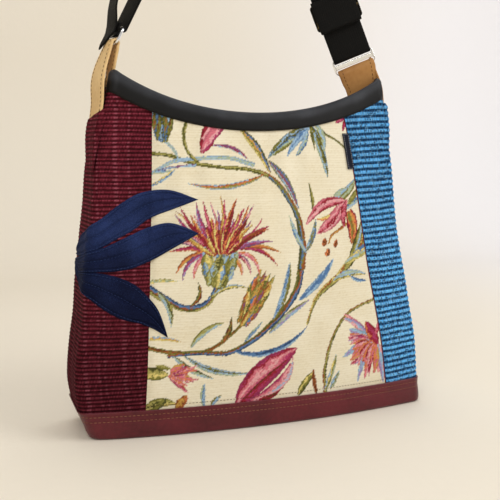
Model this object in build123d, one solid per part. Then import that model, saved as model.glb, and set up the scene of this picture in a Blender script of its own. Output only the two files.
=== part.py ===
from build123d import *
from math import cos, radians, sin, tan
import os

# A pieced carpet bag on a shoulder strap. X runs to the viewer's right, the front faces -Y,
# and the origin lies at the middle of the underside. All lengths are millimetres.

# Bag body, measured on the outside of the cloth
BASE_WIDTH = 339.0
BASE_DEPTH = 71.0
RIM_WIDTH = 262.5
RIM_DEPTH = 40.0
BAG_HEIGHT = 326.0
BELLY = 17.0
SLUMP = 9.0
BASE_CORNER = 10.0
RIM_CORNER = 8.0
RIM_DIP = 36.0
RIM_TILT = 9.0

# Layers of the wall, from the outside in, and the room left between them
CLOTH = 2.2
LINING = 0.8
SEAT = 0.3
OVERRUN = 20.0

# Leather base and its stiffening board
BASE_HEIGHT = 26.0
BASE_LEATHER = 1.8
BASE_EDGE = 1.2
BASE_LAP = 14.0
BOARD = 2.4

# Band round the rim
BAND_HEIGHT = 17.0
BAND_PROUD = 1.6
BAND_TUCK = 6.0

# Leaves and label sewn to the outside
LEAF_LENGTH = 120.0
LEAF_THICKNESS = 1.5
LEAF_ROOT_HEIGHT = 156.0
LEAF_ROOT_REACH = 150.0
LEAF_WRAP = 26.0
LEAF_VIEW = 35.0
LABEL_WIDTH = 7.5
LABEL_LENGTH = 34.0
LABEL_DROP = 18.0
LABEL_THICKNESS = 0.8

# Strap plates: flat metal with a slot for the webbing and a slot for the leather
PLATE_WIDTH = 42.0
PLATE_THICKNESS = 2.2
PLATE_CORNER = 5.0
SLOT_WIDTH = 39.4
SLOT_HEIGHT = 3.65
OUTER_BAR = 2.6
MIDDLE_BAR = 4.5
LEFT_PLATE_RISE = 31.0
LEFT_PLATE_IN = 4.5
LEFT_LEAN = 27.0
LEFT_TURN = 9.0
RIGHT_PLATE_RISE = 18.0
RIGHT_PLATE_IN = 20.5
RIGHT_LEAN = 23.5
RIGHT_TURN = 25.0

# Leather tabs that carry the plates
TAB_WIDTH = 37.0
TAB_LEATHER = 2.0
TAB_FOLD = 3.4
TAB_FOOT = 37.0
TAB_BULGE = 1.0
TAB_STAND = 2.0
TAB_ROOM = 0.5
TAB_SEAT = 0.5

# Webbing strap
WEB_WIDTH = 38.0
WEB = 1.6
LOOP = 2.4
LOOP_LIFT = 0.2
STUB = 3.0
APEX_RADIUS = 34.0
LEFT_END_LENGTH = 82.0
LEFT_END_SLACK = 16.0
SEWN_LENGTH = 26.0
STRAIGHT_RUN = 112.0

# Adjuster
SLIDER_WIDTH = 46.0
SLIDER_HEIGHT = 26.0
SLIDER_BAR = 3.0
SLIDER_GAUGE = 2.2
SLIDER_POST = 3.2
SLIDER_POST_HEIGHT = 8.0
SLIDER_CORNER = 3.0
SLIDER_RISE = 44.0
CENTRE_BAR = 2.6
WRAP_LIFT = 1.0
TAIL_LENGTH = 22.0
HEM = 6.0

# Shape of the body up its height, as shares of the sizes above
HEIGHT_SHARES = (0.0, 0.15, 0.35, 0.58, 0.78, 0.89, 0.955, 1.02)
WIDTH_SHARES = (1.0, 1.074, 0.828, 0.552, 0.378, 0.217, 0.098, 0.0)
DEPTH_SHARES = (1.0, 1.10, 0.95, 0.66, 0.35, 0.15, 0.06, 0.0)
BELLY_SHARES = (0.90, 1.0, 1.0, 0.85, 0.62, 0.42, 0.30, 0.20)
SLUMP_SHARES = (0.0, 0.74, 0.80, 1.0, 0.98, 0.686, 0.524, 0.494)

# Seams as shares of the half width: at the base, then at the rim
LEFT_SEAM_SHARES = (-0.669, -0.721)
RIGHT_SEAM_SHARES = (0.759, 0.635)
BACK_SEAM_SHARE = 0.93

# Each leaf as points out and up in shares of its length: the top edge from the root to the tip,
# then the lower edge between them
LEAF_SHARES = {
    "leaf_upper": (
        ((0.0, 0.03), (0.097, 0.183), (0.342, 0.329), (0.6, 0.521), (0.785, 0.546), (0.986, 0.471)),
        ((0.825, 0.404), (0.571, 0.258), (0.346, 0.121), (0.11, 0.042)),
    ),
    "leaf_middle": (
        ((0.0, -0.01), (0.108, 0.033), (0.405, 0.146), (0.544, 0.217), (0.798, 0.304), (0.993, 0.221)),
        ((0.83, 0.117), (0.551, -0.025), (0.308, -0.046), (0.108, -0.071)),
    ),
    "leaf_lower": (
        ((0.0, -0.06), (0.108, -0.075), (0.383, -0.058), (0.591, -0.146), (0.733, -0.321), (0.808, -0.546)),
        ((0.691, -0.463), (0.485, -0.388), (0.266, -0.229), (0.114, -0.158)),
    ),
}

# Widths of the tabs' legs as shares of the tab's width: the left inner leg from the foot up, the
# right outer leg below its turn, and the right inner leg with how far each width lies down the leg
LEFT_LEG_SHARES = (0.62, 0.62, 0.66, 1.0)
RIGHT_OUTER_SHARE = 0.75
RIGHT_LEG_SHARES = ((1.05, 0.5), (0.75, 0.64), (0.38, 0.9), (0.0, 1.0))

# Slack of the strap's left end: up its length, then out as a share of the slack
END_BULGE_SHARES = ((0.2, 0.85), (0.45, 1.0), (0.75, 0.55))

UP = Vector(0, 0, 1)
FRONT = Vector(0, -1, 0)
WALL = CLOTH + SEAT + LINING
RIM_RADIUS = ((RIM_WIDTH / 2) ** 2 + RIM_DIP ** 2) / (2 * RIM_DIP)


def between(low, high, share):
    """Give the value a share of the way from low to high."""
    return low + (high - low) * share


def share_at(shares, height):
    """Read a shape table at a height above the floor."""
    heights = [BAG_HEIGHT * share for share in HEIGHT_SHARES]
    for i in range(len(heights) - 1):
        if height <= heights[i + 1]:
            step = (height - heights[i]) / (heights[i + 1] - heights[i])
            return between(shares[i], shares[i + 1], step)
    return shares[-1]


def middle_x(height):
    """Give where the middle of the slumped body lies at a height."""
    return -SLUMP * share_at(SLUMP_SHARES, height)


def half_width(height):
    """Give half the body's width at a height."""
    return between(RIM_WIDTH, BASE_WIDTH, share_at(WIDTH_SHARES, height)) / 2


def section(height_share, grow):
    """Make one level outline of the body, grown outwards all round."""
    height = BAG_HEIGHT * height_share
    depth_share = share_at(DEPTH_SHARES, height)
    x = half_width(height) + grow
    y = between(RIM_DEPTH, BASE_DEPTH, depth_share) / 2 + grow
    r = between(RIM_CORNER, BASE_CORNER, depth_share) + grow
    bow = y + BELLY * share_at(BELLY_SHARES, height)
    inset = r * (1 - cos(radians(45)))
    edges = []
    for turn in (1, -1):
        start = (turn * (r - x), -turn * y)
        front_end = (turn * (x - r), -turn * y)
        side_start = (turn * x, turn * (r - y))
        side_end = (turn * x, turn * (y - r))
        finish = (turn * (x - r), turn * y)
        edges += [
            ThreePointArc(start, (0, -turn * bow), front_end),
            ThreePointArc(front_end, (turn * (x - inset), turn * (inset - y)), side_start),
            Line(side_start, side_end),
            ThreePointArc(side_end, (turn * (x - inset), turn * (y - inset)), finish),
        ]
    return Pos(middle_x(height), 0, height) * make_face(edges)


def body(grow):
    """Loft the whole body, grown outwards all round."""
    return loft([section(share, grow) for share in HEIGHT_SHARES])


def slab(low, high):
    """Make a wide level slab that cuts the body between two heights."""
    reach = BASE_WIDTH + BASE_DEPTH
    return Pos(0, 0, (low + high) / 2) * Box(2 * reach, 2 * reach, high - low)


def rim_drum(radius):
    """Make the drum whose underside is the dip of the rim, lower at the back and with its radius."""
    height = BAG_HEIGHT - RIM_DIP + RIM_RADIUS
    lying = Rot(90 - RIM_TILT, 0, 0) * Cylinder(radius, 4 * BASE_DEPTH)
    return Pos(middle_x(BAG_HEIGHT), 0, height) * lying


def region(left, right, back):
    """Make a block between two slanted seams, in front of or behind the middle plane."""
    low = -OVERRUN
    high = BAG_HEIGHT + OVERRUN
    corners = [(left(low), low), (right(low), low), (right(high), high), (left(high), high)]
    face = Plane.XZ * make_face(Polyline(*corners, close=True))
    return extrude(face, amount=2 * BASE_DEPTH, dir=-FRONT if back else FRONT)


def seam(shares):
    """Give the X of a straight seam as a function of height."""
    top = BAG_HEIGHT - BAND_HEIGHT
    foot = middle_x(BASE_HEIGHT) + shares[0] * half_width(BASE_HEIGHT)
    head = middle_x(top) + shares[1] * half_width(top)
    return lambda height: between(foot, head, (height - BASE_HEIGHT) / (top - BASE_HEIGHT))


def ribbon(stations, thickness):
    """Loft a flat strip through stations of centre, run, across and width."""
    faces = [
        Plane(origin=centre, x_dir=across, z_dir=run) * Rectangle(width, thickness)
        for centre, run, across, width in stations
    ]
    return loft(faces)


def side_plane(plate):
    """Give the plane that looks along a plate's bars, with x out of its face and y up it."""
    return Plane(origin=plate.origin, x_dir=plate.z_dir, z_dir=-plate.x_dir)


def bar_lift():
    """Give the distance from the middle of a plate to the middle of an outer bar."""
    return MIDDLE_BAR / 2 + SLOT_HEIGHT + OUTER_BAR / 2


def bend(side, height, inner, gauge, width, rising):
    """Make a half turn of a strip round a bar, opening down when rising and up otherwise."""
    outer = inner + gauge
    half = Pos(0, outer / 2 if rising else -outer / 2) * Rectangle(2 * outer, outer)
    ring = (Circle(outer) - Circle(inner)) & half
    return side * Pos(0, height, 0) * extrude(ring, amount=width / 2, both=True)


def leg(side, x, low, high, gauge, width):
    """Make a straight stretch of a strip beside a plate, from one height to another."""
    return side * Pos(x, (low + high) / 2, 0) * Box(gauge, high - low, width)


# The lofted wall and the regions that the seams cut it into
outside = body(0)
hollow = body(-CLOTH)
cloth_rim = rim_drum(RIM_RADIUS + BAND_HEIGHT - BAND_TUCK)
wall = (outside - hollow) & slab(BASE_HEIGHT - BASE_LAP, BAG_HEIGHT)
wall = wall - cloth_rim
left_seam = seam(LEFT_SEAM_SHARES)
right_seam = seam(RIGHT_SEAM_SHARES)
back_left = seam((-BACK_SEAM_SHARE, -BACK_SEAM_SHARE))
back_right = seam((BACK_SEAM_SHARE, BACK_SEAM_SHARE))


def far_left(height):
    """Give an X beyond the left side."""
    return -BASE_WIDTH


def far_right(height):
    """Give an X beyond the right side."""
    return BASE_WIDTH


parts = {
    "tapestry_panel": wall & region(left_seam, right_seam, False),
    "burgundy_panel": wall & (region(far_left, left_seam, False) + region(far_left, back_left, True)),
    "blue_panel": wall & (region(right_seam, far_right, False) + region(back_right, far_right, True)),
    "back_panel": wall & region(back_left, back_right, True),
}

# Leather base: a tray round the foot of the cloth, with a board on its floor
tray = body(SEAT + BASE_LEATHER) & slab(0, BASE_HEIGHT)
tray = fillet(tray.faces().sort_by(Axis.Z)[0].edges(), BASE_EDGE)
parts["leather_base"] = tray - (body(SEAT) & slab(BASE_LEATHER, BASE_HEIGHT + OVERRUN))
board_low = BASE_LEATHER + SEAT
board_high = board_low + BOARD
parts["base_board"] = body(-WALL - SEAT) & slab(board_low, board_high)

# Lining: a thin pouch inside the cloth, standing on the board
pouch = body(-CLOTH - SEAT) - (body(-WALL) & slab(board_high + SEAT + LINING, BAG_HEIGHT + OVERRUN))
parts["lining"] = (pouch & slab(board_high + SEAT, BAG_HEIGHT)) - cloth_rim

# Band: a folded binding over the rim, open at both ends where the tabs pass
band = body(BAND_PROUD) - body(-WALL - SEAT - BAND_PROUD)
band = band & (rim_drum(RIM_RADIUS + BAND_HEIGHT) - rim_drum(RIM_RADIUS))
band_slot = body(SEAT) - body(-WALL - SEAT)
band = band - (band_slot - rim_drum(RIM_RADIUS + BAND_HEIGHT - BAND_TUCK - SEAT))
gap_depth = TAB_WIDTH + 4 * TAB_ROOM
gap_length = RIM_CORNER + WALL + BAND_PROUD + 2 * (TAB_LEATHER + TAB_ROOM)
for turn in (1, -1):
    end_x = middle_x(BAG_HEIGHT) + turn * (half_width(BAG_HEIGHT - RIM_DIP) + BAND_PROUD)
    band = band - Pos(end_x, 0, BAG_HEIGHT) * Box(2 * gap_length, gap_depth, 2 * RIM_DIP + 2 * BAND_HEIGHT)
parts["front_band"] = band & region(far_left, far_right, False)
parts["back_band"] = band & region(far_left, far_right, True)

# Leaves: a raised layer cut by leaf outlines seen from the front left
view_run = Vector(sin(radians(LEAF_VIEW)), cos(radians(LEAF_VIEW)), 0)
view_across = Vector(cos(radians(LEAF_VIEW)), -sin(radians(LEAF_VIEW)), 0)
leaf_plane = Plane(origin=-view_run * BASE_WIDTH, x_dir=view_across, z_dir=view_run)
near_side = Pos(-BASE_WIDTH / 2, LEAF_WRAP - BASE_WIDTH / 2, BAG_HEIGHT / 2) * Box(
    BASE_WIDTH, BASE_WIDTH, BAG_HEIGHT
)
leaf_layer = (body(SEAT + LEAF_THICKNESS) - body(SEAT)) & near_side


def leaf_point(share):
    """Give a point of a leaf's outline, out from the root and up."""
    return Vector(LEAF_LENGTH * share[0] - LEAF_ROOT_REACH, -LEAF_ROOT_HEIGHT - LEAF_LENGTH * share[1])


taken = None
for name, (top_shares, low_shares) in LEAF_SHARES.items():
    top_points = [leaf_point(share) for share in top_shares]
    low_points = [leaf_point(share) for share in low_shares]
    upper_edge = Spline(*top_points)
    lower_edge = Spline(top_points[-1], *low_points, top_points[0])
    outline = leaf_plane * make_face([upper_edge, lower_edge])
    prism = extrude(outline, amount=2 * BASE_WIDTH, dir=view_run)
    parts[name] = leaf_layer & (prism if taken is None else prism - taken)
    taken = prism if taken is None else taken + prism

# Label: a small blank tab caught in the right seam
label_top = BAG_HEIGHT - RIM_DIP - LABEL_DROP
label_low = label_top - LABEL_LENGTH


def label_left(height):
    """Give the X of the label's free edge."""
    return right_seam(height) - LABEL_WIDTH


label_layer = body(SEAT + LABEL_THICKNESS) - body(SEAT)
parts["label_tab"] = label_layer & region(label_left, right_seam, False) & slab(label_low, label_top)

# Strap plates
left_tilt = radians(LEFT_LEAN)
right_tilt = radians(RIGHT_LEAN)
rim_left = middle_x(BAG_HEIGHT) - half_width(BAG_HEIGHT)
rim_right = middle_x(BAG_HEIGHT) + half_width(BAG_HEIGHT)
left_turn = radians(LEFT_TURN)
left_level = Vector(-cos(left_tilt), 0, sin(left_tilt))
left_plate = Plane(
    origin=(rim_left + LEFT_PLATE_IN, 0, BAG_HEIGHT + LEFT_PLATE_RISE),
    x_dir=FRONT * cos(left_turn) - left_level * sin(left_turn),
    z_dir=left_level * cos(left_turn) + FRONT * sin(left_turn),
)
right_turn = radians(RIGHT_TURN)
right_level = Vector(cos(right_tilt), 0, sin(right_tilt))
right_plate = Plane(
    origin=(rim_right - RIGHT_PLATE_IN, 0, BAG_HEIGHT + RIGHT_PLATE_RISE),
    x_dir=right_level * cos(right_turn) + FRONT * sin(right_turn),
    z_dir=FRONT * cos(right_turn) - right_level * sin(right_turn),
)
plate_height = MIDDLE_BAR + 2 * SLOT_HEIGHT + 2 * OUTER_BAR
plate_face = RectangleRounded(PLATE_WIDTH, plate_height, PLATE_CORNER)
for turn in (1, -1):
    slot_up = turn * (MIDDLE_BAR + SLOT_HEIGHT) / 2
    plate_face = plate_face - Pos(0, slot_up) * SlotOverall(SLOT_WIDTH, SLOT_HEIGHT)
plate_solid = extrude(plate_face, amount=PLATE_THICKNESS / 2, both=True)
parts["left_ring"] = left_plate * plate_solid
parts["right_ring"] = right_plate * plate_solid

# Tabs: each a strip folded over a plate's lower bar, one leg outside the wall and one inside
fold_offset = TAB_FOLD + TAB_LEATHER / 2
fold_height = -bar_lift() + OUTER_BAR / 2 + TAB_ROOM - TAB_FOLD


def wall_x(turn, height, outward):
    """Give the X of the left or right side at a height, moved outwards from the cloth."""
    return middle_x(height) + turn * (half_width(height) + outward)


def fold_end(plate, out):
    """Give where a leg meets the fold, on the face or the back of the plate."""
    return plate.origin + plate.y_dir * fold_height + plate.z_dir * out


outside_seat = TAB_SEAT + TAB_LEATHER / 2
inside_seat = -WALL - TAB_SEAT - TAB_LEATHER / 2
foot_z = BAG_HEIGHT - TAB_FOOT
neck_z = BAG_HEIGHT - RIM_CORNER
lap_z = (foot_z + neck_z) / 2
left_side = side_plane(left_plate)
left_fold = bend(left_side, fold_height, TAB_FOLD, TAB_LEATHER, TAB_WIDTH, True)
left_wall_run = Vector(wall_x(-1, neck_z, 0) - wall_x(-1, foot_z, 0), 0, neck_z - foot_z)
left_across = FRONT * cos(left_turn) + Vector(1, 0, 0) * sin(left_turn)


def left_leg(offsets, widths, out):
    """Make one leg of the left tab from its foot to the fold, at offsets outwards from the wall."""
    stations = [
        (Vector(wall_x(-1, z, offset), 0, z), left_wall_run, left_across, width)
        for z, offset, width in zip((foot_z, lap_z, neck_z), offsets, widths)
    ]
    stations.append((fold_end(left_plate, out), left_plate.y_dir, left_plate.x_dir, widths[-1]))
    return ribbon(stations, TAB_LEATHER)


left_stand = outside_seat + TAB_STAND
left_outer = left_leg(
    (left_stand, left_stand + TAB_BULGE / 2, left_stand + TAB_BULGE), [TAB_WIDTH] * 4, fold_offset
)
left_widths = [TAB_WIDTH * share for share in LEFT_LEG_SHARES]
left_inner = left_leg([inside_seat - TAB_STAND] * 3, left_widths, -fold_offset)
parts["left_tab"] = left_outer + left_fold + left_inner

right_side = side_plane(right_plate)
right_fold = bend(right_side, fold_height, TAB_FOLD, TAB_LEATHER, TAB_WIDTH, True)
right_wall_run = Vector(wall_x(1, neck_z, 0) - wall_x(1, foot_z, 0), 0, neck_z - foot_z)
outer_foot = Vector(wall_x(1, foot_z, outside_seat), 0, foot_z)
outer_lap = Vector(wall_x(1, lap_z, outside_seat + TAB_BULGE / 2), 0, lap_z)
outer_neck = Vector(wall_x(1, neck_z, outside_seat + TAB_BULGE), 0, neck_z)
outer_head = fold_end(right_plate, -fold_offset)
outer_width = TAB_WIDTH * RIGHT_OUTER_SHARE
right_outer = ribbon(
    [
        (outer_foot, right_wall_run, FRONT, outer_width),
        (outer_lap, right_wall_run, FRONT, outer_width),
        (outer_neck, right_wall_run, FRONT, outer_width),
    ],
    TAB_LEATHER,
)
twist_steps = 4
turning = []
for step in range(twist_steps + 1):
    share = step / twist_steps
    centre = outer_neck + (outer_head - outer_neck) * share
    run = right_wall_run.normalized() * (1 - share) + right_plate.y_dir * share
    across = FRONT * (1 - share) + right_plate.x_dir * share
    turning.append((centre, run, across, between(outer_width, TAB_WIDTH, share)))
right_outer = right_outer + ribbon(turning, TAB_LEATHER)

inner_edge = fold_end(right_plate, fold_offset) - right_plate.x_dir * (TAB_WIDTH / 2)
inner_stations = []
for down_share, width_share in RIGHT_LEG_SHARES:
    width = TAB_WIDTH * width_share
    centre = inner_edge - right_plate.y_dir * (TAB_FOOT * down_share) + right_plate.x_dir * (width / 2)
    inner_stations.append((centre, right_plate.y_dir, right_plate.x_dir, width))
right_inner = ribbon(inner_stations, TAB_LEATHER)
parts["right_tab"] = right_outer + right_fold + right_inner

# Strap: a loop round each plate's upper bar, straight runs, a round top and one quarter twist
web_offset = LOOP + WEB / 2
loop_height = bar_lift() + LOOP_LIFT
left_loop = bend(left_side, loop_height, LOOP, WEB, WEB_WIDTH, False)
left_stub = leg(left_side, web_offset, loop_height, loop_height + STUB, WEB, WEB_WIDTH)
right_loop = bend(right_side, loop_height, LOOP, WEB, WEB_WIDTH, False)
right_stub = leg(right_side, -web_offset, loop_height, loop_height + STUB, WEB, WEB_WIDTH)
right_run = leg(right_side, web_offset, loop_height, loop_height + STRAIGHT_RUN, WEB, WEB_WIDTH)

left_start = left_plate.origin + left_plate.y_dir * loop_height - left_plate.z_dir * web_offset
right_start = right_plate.origin + right_plate.y_dir * loop_height
span = right_start - left_start
meet_angle = sin(left_tilt + right_tilt)
left_length = (span.X * cos(right_tilt) + span.Z * sin(right_tilt)) / meet_angle
right_length = (span.X * cos(left_tilt) - span.Z * sin(left_tilt)) / meet_angle
corner = left_start + left_plate.y_dir * left_length
top_turn = 180 - LEFT_LEAN - RIGHT_LEAN
tangent = APEX_RADIUS * tan(radians(top_turn / 2))
twist_top = right_length - (right_length - STRAIGHT_RUN - tangent) / twist_steps - tangent
twist_high = right_start + right_plate.y_dir * twist_top
twist_high = Vector(twist_high.X, left_start.Y, twist_high.Z)
arch_path = FilletPolyline(left_start, corner, twist_high, radius=APEX_RADIUS)
arch_start = Plane(origin=left_start, x_dir=left_plate.x_dir, z_dir=left_plate.y_dir)
arch = sweep(arch_start * Rectangle(WEB_WIDTH, WEB), path=arch_path)

twist_low = right_start + right_plate.y_dir * STRAIGHT_RUN + right_plate.z_dir * web_offset
twist_stations = []
for step in range(twist_steps + 1):
    share = step / twist_steps
    centre = twist_low + (twist_high - twist_low) * share
    turned = radians(between(RIGHT_TURN, 90 + LEFT_TURN, share))
    across = right_level * cos(turned) + FRONT * sin(turned)
    twist_stations.append((centre, right_plate.y_dir, across, WEB_WIDTH))
twist = ribbon(twist_stations, WEB)
parts["strap"] = left_loop + left_stub + arch + twist + right_run + right_loop + right_stub

# Slack end of the strap, sewn back to the taut run above the left plate
end_foot = left_start + left_plate.z_dir * (2 * web_offset) + left_plate.y_dir * STUB
sewn_out = WEB + SEAT
end_head = left_start + left_plate.y_dir * LEFT_END_LENGTH + left_plate.z_dir * sewn_out
end_stations = [(end_foot, left_plate.y_dir, left_plate.x_dir, WEB_WIDTH)]
for up_share, out_share in END_BULGE_SHARES:
    centre = left_start + left_plate.y_dir * (LEFT_END_LENGTH * up_share)
    centre = centre + left_plate.z_dir * (LEFT_END_SLACK * out_share)
    end_stations.append((centre, left_plate.y_dir, left_plate.x_dir, WEB_WIDTH))
end_stations.append((end_head, left_plate.y_dir, left_plate.x_dir, WEB_WIDTH))
sewn_top = end_head + left_plate.y_dir * SEWN_LENGTH
slack = ribbon(end_stations, WEB)
sewn = ribbon(
    [
        (end_head, left_plate.y_dir, left_plate.x_dir, WEB_WIDTH),
        (sewn_top, left_plate.y_dir, left_plate.x_dir, WEB_WIDTH),
    ],
    WEB,
)
parts["strap_left_end"] = slack + sewn

# Adjuster: outer bars in front of the straight run, centre bar behind it in the returned webbing
run_front = web_offset + WEB / 2
run_back = web_offset - WEB / 2
frame_low = run_front + SEAT + WEB + SEAT
frame_high = frame_low + SLIDER_GAUGE
slider_up = loop_height + SLIDER_RISE
window_width = SLIDER_WIDTH - 2 * SLIDER_BAR
window_height = SLIDER_HEIGHT - 2 * SLIDER_BAR
window = RectangleRounded(window_width, window_height, SLIDER_CORNER / 2)
slider_face = RectangleRounded(SLIDER_WIDTH, SLIDER_HEIGHT, SLIDER_CORNER) - window
slider = Pos(0, slider_up, frame_low) * extrude(slider_face, amount=SLIDER_GAUGE)
tail_front = run_back - SEAT
tail_back = tail_front - WEB
bar_front = tail_back - SEAT
bar_back = bar_front - SLIDER_GAUGE
post_depth = frame_high - bar_back
for turn in (1, -1):
    post_x = turn * (SLIDER_WIDTH / 2 - SLIDER_POST / 2)
    post = Box(SLIDER_POST, SLIDER_POST_HEIGHT, post_depth)
    slider = slider + Pos(post_x, slider_up, bar_back + post_depth / 2) * post
centre_bar = Box(SLIDER_WIDTH - SLIDER_POST, CENTRE_BAR, SLIDER_GAUGE)
slider = slider + Pos(0, slider_up, (bar_front + bar_back) / 2) * centre_bar
parts["slider"] = right_plate * slider

# Sleeve: webbing over the face of the adjuster, hemmed round its two outer bars
hem_side = Plane(
    origin=right_side.origin + right_plate.z_dir * ((frame_low + frame_high) / 2),
    x_dir=right_side.x_dir,
    z_dir=right_side.z_dir,
)
sleeve_low = slider_up - SLIDER_HEIGHT / 2
sleeve_high = slider_up + SLIDER_HEIGHT / 2
hem_radius = SLIDER_GAUGE / 2 + SEAT
hem_x = frame_low - SEAT - WEB / 2
sleeve = leg(right_side, frame_high + SEAT + WEB / 2, sleeve_low, sleeve_high, WEB, WEB_WIDTH)
sleeve = sleeve + bend(hem_side, sleeve_low, hem_radius, WEB, WEB_WIDTH, False)
sleeve = sleeve + bend(hem_side, sleeve_high, hem_radius, WEB, WEB_WIDTH, True)
sleeve = sleeve + leg(right_side, hem_x, sleeve_low, sleeve_low + HEM, WEB, WEB_WIDTH)
sleeve = sleeve + leg(right_side, hem_x, sleeve_high - HEM, sleeve_high, WEB, WEB_WIDTH)
parts["slider_sleeve"] = sleeve

# Webbing returned from the right plate, wrapped round the adjuster's centre bar and sewn down
return_x = -web_offset
tail_x = (tail_front + tail_back) / 2
wrap_radius = (tail_x - return_x - WEB) / 2
wrap_height = slider_up + WRAP_LIFT
wrap_side = Plane(
    origin=right_side.origin + right_plate.z_dir * ((tail_x + return_x) / 2),
    x_dir=right_side.x_dir,
    z_dir=right_side.z_dir,
)
returned = leg(right_side, return_x, loop_height + STUB, wrap_height, WEB, WEB_WIDTH)
wrap = bend(wrap_side, wrap_height, wrap_radius, WEB, WEB_WIDTH, True)
tail = leg(right_side, tail_x, wrap_height - TAIL_LENGTH, wrap_height, WEB, WEB_WIDTH)
parts["strap_return"] = returned + wrap + tail

os.makedirs("parts", exist_ok=True)
for name, solid in parts.items():
    export_step(solid, f"parts/{name}.step")
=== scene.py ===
"""Looks of a pieced carpet bag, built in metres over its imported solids."""

import logging
import math
from dataclasses import dataclass
from enum import Enum
from typing import Any, Callable, NamedTuple, Sequence

import bpy
import numpy as np
from mathutils import Matrix, Vector


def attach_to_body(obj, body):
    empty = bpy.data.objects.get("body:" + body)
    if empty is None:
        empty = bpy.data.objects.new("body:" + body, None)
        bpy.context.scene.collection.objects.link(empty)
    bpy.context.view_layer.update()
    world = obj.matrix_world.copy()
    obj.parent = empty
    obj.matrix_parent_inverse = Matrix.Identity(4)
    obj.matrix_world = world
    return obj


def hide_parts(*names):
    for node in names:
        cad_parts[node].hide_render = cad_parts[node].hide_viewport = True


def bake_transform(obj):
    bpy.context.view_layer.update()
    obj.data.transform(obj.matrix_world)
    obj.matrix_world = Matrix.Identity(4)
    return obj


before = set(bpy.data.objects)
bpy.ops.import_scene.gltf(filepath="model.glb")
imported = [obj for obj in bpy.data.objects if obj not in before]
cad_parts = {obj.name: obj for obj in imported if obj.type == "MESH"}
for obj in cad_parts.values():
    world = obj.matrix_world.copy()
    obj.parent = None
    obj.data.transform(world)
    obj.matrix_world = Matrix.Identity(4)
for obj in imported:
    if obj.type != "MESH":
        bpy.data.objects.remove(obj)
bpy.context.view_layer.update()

Array = np.ndarray
Pair = tuple[float, float]
Pairs = tuple[Pair, ...]
Triple = tuple[float, float, float]
Colour = Triple
Material = bpy.types.Material
Piece = bpy.types.Object
MM = 0.001
IN_MM = 1000.0
FRONT = np.array([0.0, -1.0, 0.0])
log = logging.getLogger("carpet_bag")


class Side(Enum):
    """The bag's two ends."""

    LEFT = -1
    RIGHT = 1


class Rides(Enum):
    """The bodies that pieces move with."""

    BAG = "bag"
    LEFT_PLATE = "left_ring"
    RIGHT_PLATE = "right_ring"
    ADJUSTER = "slider"


def tone(red: int, green: int, blue: int) -> Colour:
    """Turn a screen colour from 0 to 255 into a linear one."""
    return tuple(
        value / 12.92 if value <= 0.04045 else ((value + 0.055) / 1.055) ** 2.4
        for value in (red / 255, green / 255, blue / 255)
    )


def hashed(first: Array, second: Array, seed: float = 0.0) -> Array:
    """Give a steady scattered value from 0 to 1 for whole-number cells."""
    return np.modf(np.abs(np.sin(first * 12.9898 + second * 78.233 + seed * 37.719) * 43758.5453))[0]


def drift(first: Array, second: Array, seed: float = 0.0) -> Array:
    """Give a smooth scattered value from -1 to 1 over a plane.

    Args:
        first: Places along the plane, in cells.
        second: Places up the plane, in cells.
        seed: Picks one of many patterns.

    Returns:
        One value for each place.
    """
    a, b = np.floor(first), np.floor(second)
    s, t = first - a, second - b
    s, t = s * s * (3 - 2 * s), t * t * (3 - 2 * t)
    low = hashed(a, b, seed) * (1 - s) + hashed(a + 1, b, seed) * s
    high = hashed(a, b + 1, seed) * (1 - s) + hashed(a + 1, b + 1, seed) * s
    return 2 * (low * (1 - t) + high * t) - 1


def ease(low: float, high: float, value: Array) -> Array:
    """Rise smoothly from 0 at low to 1 at high."""
    share = np.clip((value - low) / (high - low), 0, 1)
    return share * share * (3 - 2 * share)


def unit(vectors: Array) -> Array:
    """Scale each vector to length one."""
    return vectors / np.maximum(np.linalg.norm(vectors, axis=-1, keepdims=True), 1e-12)


def through(heights: Sequence[float], values: Sequence[float], at: Array) -> Array:
    """Read a smooth curve through a table.

    Args:
        heights: The table's places, rising.
        values: Its values there.
        at: The places to read.

    Returns:
        One value for each place.
    """
    h, v = np.asarray(heights, float), np.asarray(values, float)
    slope = np.gradient(v, h)
    i = np.clip(np.searchsorted(h, at) - 1, 0, len(h) - 2)
    span = h[i + 1] - h[i]
    t = np.clip((at - h[i]) / span, 0, 1)
    return (
        v[i] * (1 + 2 * t) * (1 - t) ** 2
        + slope[i] * span * t * (1 - t) ** 2
        + v[i + 1] * t * t * (3 - 2 * t)
        - slope[i + 1] * span * t * t * (1 - t)
    )


def run_of(points: Array) -> Array:
    """Give the distance along a line of points to each of them."""
    return np.concatenate([[0], np.cumsum(np.linalg.norm(np.diff(points, axis=0), axis=1))])


def paired(first: Array, second: Array) -> Array:
    """Put two grids of values side by side, a pair for each point."""
    return np.stack([first.ravel(), second.ravel()], axis=1)


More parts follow.
